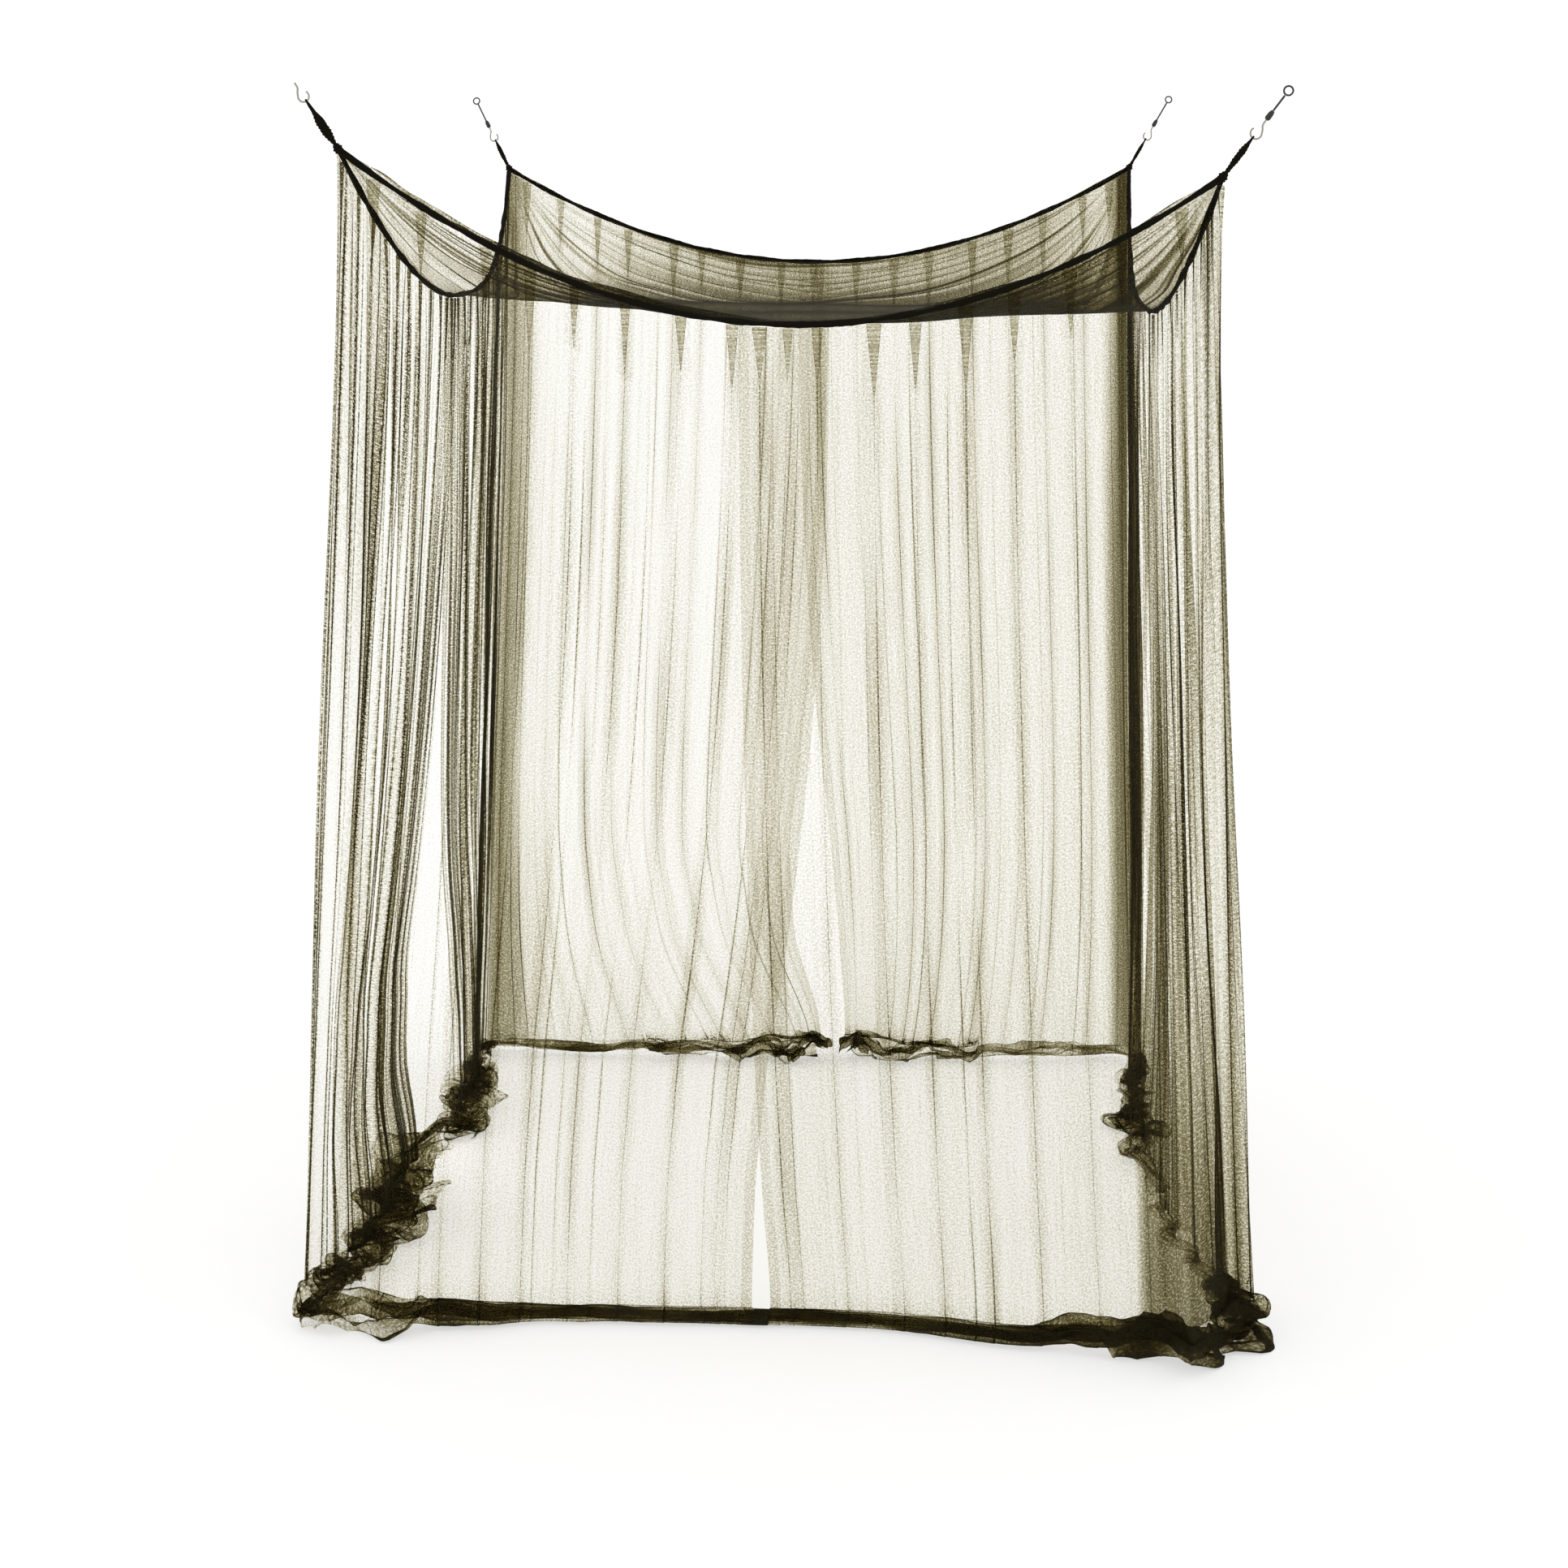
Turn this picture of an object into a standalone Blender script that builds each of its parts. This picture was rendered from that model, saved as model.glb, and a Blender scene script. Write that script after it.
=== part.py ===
"""Four-corner mosquito net canopy with its hanging hooks, as it hangs over a bed.

Metres, +Z up. The origin is on the floor under the middle of the canopy.
+X is the right-hand side and -Y is the front. The net is a sagging ceiling sheet and
four curtains. Each curtain wraps round one corner, laps its neighbour at the middle of
each side, and ends in a pile on the floor.
"""

import math

import bmesh
import bpy
import numpy as np
from mathutils import Vector

# Top of the net: the four corners that the ties pull on. The piles on the floor reach
# further to the front and to the right, so the ceiling's middle is off the origin.
HALF_WIDTH = 0.83
HALF_DEPTH = 1.00
CEILING_MIDDLE = (-0.017, 0.072, 0.0)

# corner: (x side, y side, height, floor x, floor y, lean of the tie in x, and in y)
CORNERS = {
    "front_left": (-1, -1, 2.300, -0.938, -1.020, -0.63, -0.15),
    "front_right": (1, -1, 2.241, 0.925, -1.068, 0.74, -0.15),
    "back_right": (1, 1, 2.416, 0.905, 0.965, 0.58, 0.15),
    "back_left": (-1, 1, 2.420, -0.925, 0.945, -0.50, 0.15),
}

# edge, counter-clockwise from above: (from corner, to corner, sag, inward bow at the top,
# inward bow at the floor, steepness of the curve in its first half, and in its second)
EDGES = (
    ("front", "front_left", "front_right", 0.300, 0.000, 0.065, 2.0, 2.0),
    ("right", "front_right", "back_right", 0.310, 0.040, 0.060, 2.0, 3.0),
    ("back", "back_right", "back_left", 0.248, 0.000, 0.065, 2.0, 2.0),
    ("left", "back_left", "front_left", 0.305, 0.040, 0.050, 3.0, 2.0),
)

# Cloth
CLOTH_THICKNESS = 0.002
CLOTH_DROP = 2.47
PIECE_GAP = 0.0004
CURTAIN_GAP = 0.0012

# Ceiling sheet
CEILING_LIFT = 0.26
CEILING_COLUMNS = 14
CEILING_ROWS = 12

# Bound edge of the ceiling
BINDING_RADIUS = 0.0055
BINDING_POINTS = 24
BINDING_END = 0.0097

# Curtains. Places round the net are counted in edges: 0 to 1 is the front, 1 to 2 the
# right, 2 to 3 the back and 3 to 4 the left.
# curtain: (start place at the top, at the knee and at the floor; corner place;
# end place at the top, at the knee and at the floor; lap: 1 outside, -1 inside;
# pull of the folds towards the start, and towards the end; how late the free edge at
# the start swings out from the top to the knee, and the edge at the end: a larger
# power keeps the edge upright for longer)
CURTAINS = {
    "front_right": (0.457, 0.480, 0.500, 1.0, 1.480, 1.400, 1.395, -1, 0.0, 0.0, 2, 2),
    "back_right": (1.420, 1.418, 1.432, 2.0, 2.530, 2.464, 2.449, 1, 0.0, 0.5, 2, 2),
    "back_left": (2.480, 2.545, 2.485, 3.0, 3.585, 3.450, 3.415, -1, 0.8, 0.0, 2, 6),
    "front_left": (3.485, 3.700, 3.605, 4.0, 4.560, 4.480, 4.468, 1, 0.0, 0.0, 2.6, 2),
}
CURTAIN_COLUMNS = 36
WALL_ROWS = (0.0, 0.07, 0.36, 0.60, 0.80, 1.0)
KNEE = 0.80
FOLDS = 9
FOLD_DEPTH_TOP = 0.003
FOLD_DEPTH = 0.022
LAP_WIDTH = 0.18
LAP_FULL = 0.6
LAP_FOLD_SHARE = 0.25
LAP_OFFSET_TOP = 0.0021
LAP_OFFSET = 0.014

# Piles on the floor, a back-and-forth section of layers
PILE_LAYERS = 5
PILE_LAYER_STEP = 0.010
PILE_LEAST_WIDTH = 0.014
FLOOR_CORNER_REACH = 0.12

# (place round the net, how far the pile lies outwards, height as a share of a plain pile)
HEAPS = (
    (0.00, 0.000, 1.9),
    (0.12, 0.030, 1.5),
    (0.28, 0.000, 0.9),
    (0.60, 0.000, 0.9),
    (0.76, 0.050, 1.1),
    (0.92, 0.080, 1.9),
    (1.00, 0.025, 2.2),
    (1.12, 0.000, 1.6),
    (1.36, -0.030, 1.0),
    (1.62, -0.050, 1.5),
    (1.86, -0.030, 1.1),
    (2.00, 0.000, 0.9),
    (2.30, 0.000, 1.0),
    (2.46, 0.015, 1.6),
    (2.72, 0.000, 1.1),
    (3.00, 0.000, 0.9),
    (3.30, -0.030, 1.4),
    (3.48, -0.015, 1.0),
    (3.66, -0.036, 2.3),
    (3.90, -0.018, 1.2),
    (4.00, 0.000, 1.9),
)

# Corner ties, hooks, ferrules, cords and end loops, measured out from the corner
TIE_LENGTHS = {
    "front_left": 0.108,
    "front_right": 0.092,
    "back_right": 0.090,
    "back_left": 0.088,
}
KNOT_RADIUS = 0.0092
RIBBON_WIDTH = 0.010
RIBBON_THICKNESS = 0.0022
GATHERED_HALF_WIDTH = 0.0018
WIRE_RADIUS = 0.0019
HOOK_GAP = 0.0005
HOOK_RADIUS = 0.0105
HOOK_LENGTH = 0.040
HOOK_BOWL_POINTS = 12
HOOK_TIP_ANGLE = 118.0
HOOK_SHANK_ANGLE = -128.0
FERRULE_LENGTH = 0.020
FERRULE_RADIUS = 0.0056
CORD_RADIUS = 0.0020
LOOP_RADIUS = 0.0085
LOOP_WIRE_RADIUS = 0.0018

# corner: length of the cord that shows beyond the ferrule
CORDS = {
    "front_right": 0.034,
    "back_right": 0.052,
    "back_left": 0.050,
}

NET_COLOUR = (0.060, 0.054, 0.030)
TAPE_COLOUR = (0.020, 0.018, 0.010)
STEEL_COLOUR = (0.42, 0.41, 0.38)
BLACK_COLOUR = (0.015, 0.015, 0.013)


def clear_scene():
    """Remove every object of the opening scene."""
    for item in list(bpy.data.objects):
        bpy.data.objects.remove(item)


def make_material(name, colour, roughness, metallic=0.0):
    """Return a Principled material of one colour."""
    material = bpy.data.materials.new(name)
    material.use_nodes = True
    shader = material.node_tree.nodes["Principled BSDF"]
    shader.inputs["Base Color"].default_value = (*colour, 1.0)
    shader.inputs["Roughness"].default_value = roughness
    shader.inputs["Metallic"].default_value = metallic
    return material


def link_object(name, data, material):
    """Add an object with this name, data and material."""
    item = bpy.data.objects.new(name, data)
    data.materials.append(material)
    bpy.context.scene.collection.objects.link(item)
    return item


def mix(a, b, t):
    """Return the value that lies t of the way from a to b."""
    return a + (b - a) * t


def ease(t):
    """Return a smooth step from 0 to 1."""
    t = min(max(t, 0.0), 1.0)
    return t * t * (3.0 - 2.0 * t)


def corner_top(name):
    """Return the corner of the ceiling that the tie pulls on."""
    side_x, side_y, height = CORNERS[name][:3]
    return np.array([side_x * HALF_WIDTH, side_y * HALF_DEPTH, height]) + CEILING_MIDDLE


def corner_floor(name):
    """Return the sharp corner of the floor line."""
    floor_x, floor_y = CORNERS[name][3:5]
    return np.array([floor_x, floor_y, 0.0]) + CEILING_MIDDLE


def split_place(place):
    """Return the edge and the share along it of a place round the net."""
    place = place % 4.0
    index = min(int(place), 3)
    return EDGES[index], place - index


def outward_of(start, end):
    """Return the level direction that points out of an edge."""
    along = end - start
    along[2] = 0.0
    along = along / np.linalg.norm(along)
    return np.array([along[1], -along[0], 0.0])


def top_point(place):
    """Return the point of the ceiling's bound edge at this place."""
    (_, first, second, sag, bow, _, power_a, power_b), share = split_place(place)
    start = corner_top(first)
    end = corner_top(second)
    power = power_a if share < 0.5 else power_b
    point = mix(start, end, share)
    point = point - outward_of(start, end) * bow * 4.0 * share * (1.0 - share)
    point[2] -= sag * (1.0 - abs(2.0 * share - 1.0) ** power)
    return point


def floor_side_point(edge, share):
    """Return a point of one side's floor line, before its corners are rounded."""
    start = corner_floor(edge[1])
    end = corner_floor(edge[2])
    inward = -outward_of(start, end)
    return mix(start, end, share) + inward * edge[5] * 4.0 * share * (1.0 - share)


def floor_point(place):
    """Return the point where the wall meets its pile, on a loop with rounded corners."""
    edge, share = split_place(place)
    index = EDGES.index(edge)
    reach = FLOOR_CORNER_REACH / (2.0 * HALF_DEPTH)
    if share < reach:
        before, corner, after = EDGES[index - 1], edge[1], edge
        turn = 0.5 + 0.5 * share / reach
    elif share > 1.0 - reach:
        before, corner, after = edge, edge[2], EDGES[(index + 1) % 4]
        turn = 0.5 - 0.5 * (1.0 - share) / reach
    else:
        return floor_side_point(edge, share)
    first = floor_side_point(before, 1.0 - reach)
    last = floor_side_point(after, reach)
    middle = corner_floor(corner)
    return mix(mix(first, middle, turn), mix(middle, last, turn), turn)


def outward_at(place):
    """Return the level direction out of the floor line at this place."""
    step = 0.004
    return outward_of(floor_point(place - step), floor_point(place + step))


def edge_place(start_top, start_knee, start_floor, height, power):
    """Return where a curtain's free edge is at a height share, 0 at the top."""
    if height < KNEE:
        return mix(start_top, start_knee, (height / KNEE) ** power)
    return mix(start_knee, start_floor, ease((height - KNEE) / (1.0 - KNEE)))


def curtain_place(curtain, share, height):
    """Return the place round the net of a curtain's column at a height share."""
    corner = curtain[3]
    start = edge_place(*curtain[0:3], height, curtain[10])
    end = edge_place(*curtain[4:7], height, curtain[11])
    corner_share = (corner - curtain[0]) / (curtain[4] - curtain[0])
    sweep = height**5
    if share < corner_share:
        t = share / corner_share
        t -= curtain[8] * sweep * t * (1.0 - t)
        return mix(start, corner, t)
    t = (share - corner_share) / (1.0 - corner_share)
    t += curtain[9] * sweep * t * (1.0 - t)
    return mix(corner, end, t)


def lap_share(curtain, share):
    """Return 1 at a curtain's free edges and 0 past its laps."""
    width = LAP_WIDTH / (curtain[4] - curtain[0])
    near = min(share, 1.0 - share)
    return 1.0 - ease((near / width - LAP_FULL) / (1.0 - LAP_FULL))


def fold_offset(curtain, share, height):
    """Return how far a curtain stands out of its wall's plane."""
    lap = lap_share(curtain, share)
    depth = mix(FOLD_DEPTH_TOP, FOLD_DEPTH, ease(height * 1.6))
    phase = share * FOLDS + 0.16 * math.sin(2.0 * math.pi * 2.0 * share + curtain[3])
    uneven = 1.0 + 0.35 * math.sin(2.0 * math.pi * 1.7 * share + 2.0 * curtain[3])
    wave = depth * uneven * math.sin(2.0 * math.pi * phase)
    offset = mix(LAP_OFFSET_TOP, LAP_OFFSET, ease(height * 3.0))
    return wave * mix(1.0, LAP_FOLD_SHARE, lap) + curtain[7] * lap * offset


def binding_clearance(place):
    """Return how far below its binding's middle a curtain starts."""
    step = 0.004
    along = top_point(place + step) - top_point(place - step)
    level = math.hypot(along[0], along[1])
    slope = min(abs(along[2]) / level, 1.5)
    return (BINDING_RADIUS + CURTAIN_GAP) * math.hypot(1.0, slope)


def heap_at(place):
    """Return how far out the pile lies at this place, and the rise of one of its layers."""
    place = place % 4.0
    for (first, out_a, rise_a), (last, out_b, rise_b) in zip(HEAPS, HEAPS[1:]):
        if place <= last:
            t = ease((place - first) / (last - first))
            return mix(out_a, out_b, t), mix(rise_a, rise_b, t) * PILE_LAYER_STEP
    return HEAPS[-1][1], HEAPS[-1][2] * PILE_LAYER_STEP


def wall_point(curtain, share, height):
    """Return a point of a curtain's hanging part."""
    place = curtain_place(curtain, share, height)
    shift, rise = heap_at(place)
    outward = outward_at(place)
    top = top_point(place)
    top[2] -= binding_clearance(place)
    foot = floor_point(place) + outward * shift
    point = mix(top, foot, height**1.2)
    point[2] = mix(top[2], (PILE_LAYERS - 1) * rise + 0.5 * CLOTH_THICKNESS, height)
    return point + outward * fold_offset(curtain, share, height)


def pile_points(curtain, share):
    """Return a column's points in the pile, a back-and-forth section of layers."""
    place = curtain_place(curtain, share, 1.0)
    rise = heap_at(place)[1]
    foot = wall_point(curtain, share, 1.0)
    outward = outward_at(place)
    hung = top_point(place)[2] - foot[2]
    spare = CLOTH_DROP - hung - (PILE_LAYERS - 1) * rise
    half = 0.5 * max(spare / (PILE_LAYERS - 0.5), PILE_LEAST_WIDTH)
    points = []
    for layer in range(PILE_LAYERS):
        side = half if layer % 2 == 0 else -half
        turn = foot + outward * side
        turn[2] = foot[2] - layer * rise
        points.append(turn)
        if layer < PILE_LAYERS - 1:
            points.append(turn - np.array([0.0, 0.0, rise]))
    return points


def unit(vectors):
    """Return vectors of length 1, along the last axis."""
    return vectors / np.linalg.norm(vectors, axis=-1, keepdims=True)


def sheet_mesh(name, grid):
    """Return the closed mesh of a thin sheet round a grid of points."""
    along = np.gradient(grid, axis=0)
    steps = unit(np.diff(grid, axis=1))
    down = np.empty_like(grid)
    down[:, 0] = steps[:, 0]
    down[:, -1] = steps[:, -1]
    down[:, 1:-1] = steps[:, :-1] + steps[:, 1:]
    normal = unit(np.cross(along, down))
    front = grid + normal * 0.5 * CLOTH_THICKNESS
    back = grid - normal * 0.5 * CLOTH_THICKNESS
    columns, rows = grid.shape[:2]
    bm = bmesh.new()
    faces_of = [[[bm.verts.new(p) for p in column] for column in side] for side in (front, back)]
    outer, inner = faces_of
    for i in range(columns - 1):
        for j in range(rows - 1):
            bm.faces.new((outer[i][j], outer[i + 1][j], outer[i + 1][j + 1], outer[i][j + 1]))
            bm.faces.new((inner[i][j], inner[i][j + 1], inner[i + 1][j + 1], inner[i + 1][j]))
    rim = [(i, 0) for i in range(columns)]
    rim += [(columns - 1, j) for j in range(1, rows)]
    rim += [(i, rows - 1) for i in range(columns - 2, -1, -1)]
    rim += [(0, j) for j in range(rows - 2, 0, -1)]
    for k, (i, j) in enumerate(rim):
        i2, j2 = rim[(k + 1) % len(rim)]
        bm.faces.new((outer[i][j], inner[i][j], inner[i2][j2], outer[i2][j2]))
    bmesh.ops.recalc_face_normals(bm, faces=bm.faces)
    mesh = bpy.data.meshes.new(name)
    bm.to_mesh(mesh)
    bm.free()
    mesh.shade_smooth()
    mesh.set_sharp_from_angle(angle=math.radians(50.0))
    return mesh


def make_curtain(corner, material):
    """Add the curtain that wraps round one corner."""
    curtain = CURTAINS[corner]
    columns = []
    for i in range(CURTAIN_COLUMNS + 1):
        share = i / CURTAIN_COLUMNS
        column = [wall_point(curtain, share, height) for height in WALL_ROWS]
        columns.append(column + pile_points(curtain, share))
    name = "curtain_" + corner
    link_object(name, sheet_mesh(name, np.array(columns)), material)


def ceiling_point(u, v):
    """Return a point of the sagging ceiling, u from left to right and v to the back."""
    front = top_point(0.0 + u)
    back = top_point(3.0 - u)
    left = top_point(4.0 - v)
    right = top_point(1.0 + v)
    sides = mix(front, back, v) + mix(left, right, u)
    near = mix(corner_top("front_left"), corner_top("front_right"), u)
    far = mix(corner_top("back_left"), corner_top("back_right"), u)
    point = sides - mix(near, far, v)
    point[2] += CEILING_LIFT * 16.0 * u * (1.0 - u) * v * (1.0 - v)
    return point


def make_ceiling(material):
    """Add the ceiling sheet, a hair inside its bound edge."""
    inset = BINDING_RADIUS + 0.5 * CLOTH_THICKNESS + PIECE_GAP
    inset_u = inset / (2.0 * HALF_WIDTH)
    inset_v = inset / (2.0 * HALF_DEPTH)
    columns = []
    for i in range(CEILING_COLUMNS + 1):
        u = mix(inset_u, 1.0 - inset_u, i / CEILING_COLUMNS)
        column = []
        for j in range(CEILING_ROWS + 1):
            v = mix(inset_v, 1.0 - inset_v, j / CEILING_ROWS)
            column.append(ceiling_point(u, v))
        columns.append(column)
    link_object("ceiling_sheet", sheet_mesh("ceiling_sheet", np.array(columns)), material)


def make_tube(name, points, radius, material, resolution=2):
    """Add a closed tube along points."""
    curve = bpy.data.curves.new(name, "CURVE")
    curve.dimensions = "3D"
    curve.bevel_depth = radius
    curve.bevel_resolution = resolution
    curve.use_fill_caps = True
    spline = curve.splines.new("POLY")
    spline.points.add(len(points) - 1)
    for target, point in zip(spline.points, points):
        target.co = (*point, 1.0)
        target.radius = 1.0
    spline.use_smooth = True
    return link_object(name, curve, material)


def make_binding(index, material):
    """Add the bound edge along one side of the ceiling."""
    step = 0.001
    near_end = index + 0.99999
    pace_in = np.linalg.norm(top_point(index + step) - top_point(index)) / step
    pace_out = np.linalg.norm(top_point(near_end) - top_point(near_end - step)) / step
    first = index + BINDING_END / pace_in
    last = index + 1.0 - BINDING_END / pace_out
    places = [mix(first, last, i / (BINDING_POINTS - 1)) for i in range(BINDING_POINTS)]
    points = [top_point(place) for place in places]
    make_tube("binding_" + EDGES[index][0], points, BINDING_RADIUS, material)


def tie_frame(corner):
    """Return a tie's start, its direction, its side direction and its flat direction."""
    lean_x, lean_y = CORNERS[corner][5:7]
    along = unit(np.array([lean_x, lean_y, 1.0]))
    side = unit(np.cross(np.array([0.0, 1.0, 0.0]), along)) * CORNERS[corner][0]
    flat = np.cross(along, side)
    return corner_top(corner), along, side, flat


def make_loft(name, sections, material):
    """Add a closed body through oval sections: (middle, wide axis, thin axis)."""
    bm = bmesh.new()
    sides = 8
    rings = []
    for middle, wide, thin in sections:
        ring = []
        for k in range(sides):
            angle = 2.0 * math.pi * k / sides
            ring.append(bm.verts.new(middle + wide * math.cos(angle) + thin * math.sin(angle)))
        rings.append(ring)
    for first, second in zip(rings, rings[1:]):
        for k in range(sides):
            n = (k + 1) % sides
            bm.faces.new((first[k], first[n], second[n], second[k]))
    bm.faces.new(rings[0][::-1])
    bm.faces.new(rings[-1])
    bmesh.ops.recalc_face_normals(bm, faces=bm.faces)
    mesh = bpy.data.meshes.new(name)
    bm.to_mesh(mesh)
    bm.free()
    mesh.shade_smooth()
    mesh.set_sharp_from_angle(angle=math.radians(50.0))
    return link_object(name, mesh, material)


def make_tie(corner, material):
    """Add a corner ribbon: a knot, a run up, a turn over the hook and a run back down."""
    start, along, side, flat = tie_frame(corner)
    spread = WIRE_RADIUS + HOOK_GAP + 0.5 * RIBBON_THICKNESS
    length = TIE_LENGTHS[corner]
    half_width = 0.5 * RIBBON_WIDTH
    half_thickness = 0.5 * RIBBON_THICKNESS
    # (distance up the tie, offset to the front, half width, half thickness)
    rows = (
        (-0.0090, 0.0, 0.0020, 0.0020),
        (-0.0066, 0.0, 0.0064, 0.0064),
        (0.0000, 0.0, KNOT_RADIUS, KNOT_RADIUS),
        (0.0060, 0.0, 0.0070, 0.0066),
        (0.0110, 0.0, 0.0044, 0.0038),
        (0.0240, 0.6 * spread, half_width, half_thickness),
        (0.0560, spread, half_width, half_thickness),
        (0.0740, spread, 0.7 * half_width, half_thickness),
        (length - spread, spread, GATHERED_HALF_WIDTH, half_thickness),
    )
    sections = []
    for rise, offset, wide, thin in rows:
        middle = start + along * rise + flat * offset
        sections.append((middle, side * wide, flat * thin))
    turns = 6
    for k in range(1, turns + 1):
        angle = math.pi * k / turns
        outward = flat * math.cos(angle) + along * math.sin(angle)
        middle = start + along * (length - spread) + outward * spread
        sections.append((middle, side * GATHERED_HALF_WIDTH, outward * half_thickness))
    for rise in (0.074, 0.044):
        middle = start + along * rise - flat * spread
        sections.append((middle, side * half_width, -flat * half_thickness))
    make_loft("tie_" + corner, sections, material)


def make_hook(corner, material):
    """Add the wire hook, its tip towards the middle, and return its shank's end."""
    start, along, side, _ = tie_frame(corner)
    spread = WIRE_RADIUS + HOOK_GAP + 0.5 * RIBBON_THICKNESS
    low = start + along * (TIE_LENGTHS[corner] - spread)
    middle = low + along * HOOK_RADIUS
    points = []
    for k in range(HOOK_BOWL_POINTS):
        angle = math.radians(mix(HOOK_TIP_ANGLE, HOOK_SHANK_ANGLE, k / (HOOK_BOWL_POINTS - 1)))
        points.append(middle - (side * math.sin(angle) + along * math.cos(angle)) * HOOK_RADIUS)
    # (distance up from the bowl's lowest point, offset to the shank's side)
    for rise, offset in ((0.0231, 0.0050), (0.0273, 0.0014), (0.0315, 0.0), (HOOK_LENGTH, 0.0)):
        points.append(low + along * rise + side * offset)
    make_tube("hook_" + corner, points, WIRE_RADIUS, material, resolution=1)
    return points[-1]


def make_ferrule(corner, base, material):
    """Add the turned sleeve between the hook and its cord."""
    along = tie_frame(corner)[1]
    bm = bmesh.new()
    # (height, radius)
    profile = (
        (0.0, 0.55 * FERRULE_RADIUS),
        (0.18 * FERRULE_LENGTH, FERRULE_RADIUS),
        (0.72 * FERRULE_LENGTH, 0.92 * FERRULE_RADIUS),
        (FERRULE_LENGTH, 0.60 * FERRULE_RADIUS),
    )
    sides = 12
    rings = []
    for height, radius in profile:
        ring = []
        for k in range(sides):
            angle = 2.0 * math.pi * k / sides
            ring.append(bm.verts.new((radius * math.cos(angle), radius * math.sin(angle), height)))
        rings.append(ring)
    for first, second in zip(rings, rings[1:]):
        for k in range(sides):
            n = (k + 1) % sides
            bm.faces.new((first[k], first[n], second[n], second[k]))
    bm.faces.new(rings[0][::-1])
    bm.faces.new(rings[-1])
    mesh = bpy.data.meshes.new("ferrule_" + corner)
    bm.to_mesh(mesh)
    bm.free()
    item = link_object("ferrule_" + corner, mesh, material)
    item.rotation_mode = "QUATERNION"
    item.rotation_quaternion = Vector((0.0, 0.0, 1.0)).rotation_difference(Vector(along))
    item.location = base + along * PIECE_GAP


def make_cord(corner, base, material):
    """Add the taut cord above the ferrule and return its far end."""
    along = tie_frame(corner)[1]
    length = CORDS[corner]
    count = 2 + int(length / (5.0 * CORD_RADIUS))
    points = [base + along * length * k / (count - 1) for k in range(count)]
    make_tube("cord_" + corner, points, CORD_RADIUS, material)
    return points[-1]


def make_end_loop(corner, base, material):
    """Add the small closed loop at the end of a cord."""
    _, along, side, flat = tie_frame(corner)
    middle = base + along * (LOOP_RADIUS + LOOP_WIRE_RADIUS + PIECE_GAP)
    bm = bmesh.new()
    turns = 16
    sides = 8
    rings = []
    for k in range(turns):
        angle = 2.0 * math.pi * k / turns
        outward = side * math.cos(angle) + along * math.sin(angle)
        ring = []
        for n in range(sides):
            around = 2.0 * math.pi * n / sides
            reach = outward * (LOOP_RADIUS + LOOP_WIRE_RADIUS * math.cos(around))
            ring.append(bm.verts.new(middle + reach + flat * LOOP_WIRE_RADIUS * math.sin(around)))
        rings.append(ring)
    for k in range(turns):
        first = rings[k]
        second = rings[(k + 1) % turns]
        for n in range(sides):
            m = (n + 1) % sides
            bm.faces.new((first[n], first[m], second[m], second[n]))
    bmesh.ops.recalc_face_normals(bm, faces=bm.faces)
    mesh = bpy.data.meshes.new("end_loop_" + corner)
    bm.to_mesh(mesh)
    bm.free()
    mesh.shade_smooth()
    link_object("end_loop_" + corner, mesh, material)


def build():
    """Build the whole canopy."""
    clear_scene()
    net = make_material("net", NET_COLOUR, 0.9)
    tape = make_material("binding_tape", TAPE_COLOUR, 0.85)
    steel = make_material("hook_wire", STEEL_COLOUR, 0.35, 1.0)
    black = make_material("cord_black", BLACK_COLOUR, 0.6)
    make_ceiling(net)
    for index in range(len(EDGES)):
        make_binding(index, tape)
    for corner in CORNERS:
        make_curtain(corner, net)
        make_tie(corner, tape)
        hook_top = make_hook(corner, steel)
        if corner not in CORDS:
            continue
        along = tie_frame(corner)[1]
        make_ferrule(corner, hook_top, black)
        cord_base = hook_top + along * (FERRULE_LENGTH + 2.0 * PIECE_GAP)
        cord_end = make_cord(corner, cord_base, black)
        make_end_loop(corner, cord_end, black)


build()
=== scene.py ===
"""Looks of the four-corner mosquito net canopy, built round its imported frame.

Metres, +Z up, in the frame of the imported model: the origin is on the floor under the middle
of the canopy, +X is the right-hand side and -Y is the front. The net's surfaces follow the
same edges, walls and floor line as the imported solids, with finer folds, sewn pleats, gathers
and crumpled piles on them.
"""

import math
from collections import namedtuple
from functools import partialmethod

import bpy
import numpy as np
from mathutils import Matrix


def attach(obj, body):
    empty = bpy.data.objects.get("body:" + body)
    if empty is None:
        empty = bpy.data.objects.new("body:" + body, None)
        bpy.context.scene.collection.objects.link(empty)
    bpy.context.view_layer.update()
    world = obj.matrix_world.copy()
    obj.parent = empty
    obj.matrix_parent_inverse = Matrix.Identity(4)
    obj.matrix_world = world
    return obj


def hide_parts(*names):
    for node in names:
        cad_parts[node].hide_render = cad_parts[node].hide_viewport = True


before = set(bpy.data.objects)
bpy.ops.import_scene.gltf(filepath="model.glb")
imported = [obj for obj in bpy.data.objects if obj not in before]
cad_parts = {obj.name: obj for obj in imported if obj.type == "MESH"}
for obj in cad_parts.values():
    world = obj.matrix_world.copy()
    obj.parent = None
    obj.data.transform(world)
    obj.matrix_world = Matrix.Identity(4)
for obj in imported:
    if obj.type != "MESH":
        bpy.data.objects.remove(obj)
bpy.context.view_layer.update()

# ---- camera
CAMERA_PLACE = (0.236, -5.586, 1.894)
CAMERA_PITCH = 83.9
CAMERA_YAW = 2.94
CAMERA_LENS = 56.33
CAMERA_SHIFT_UP = -0.1

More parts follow.
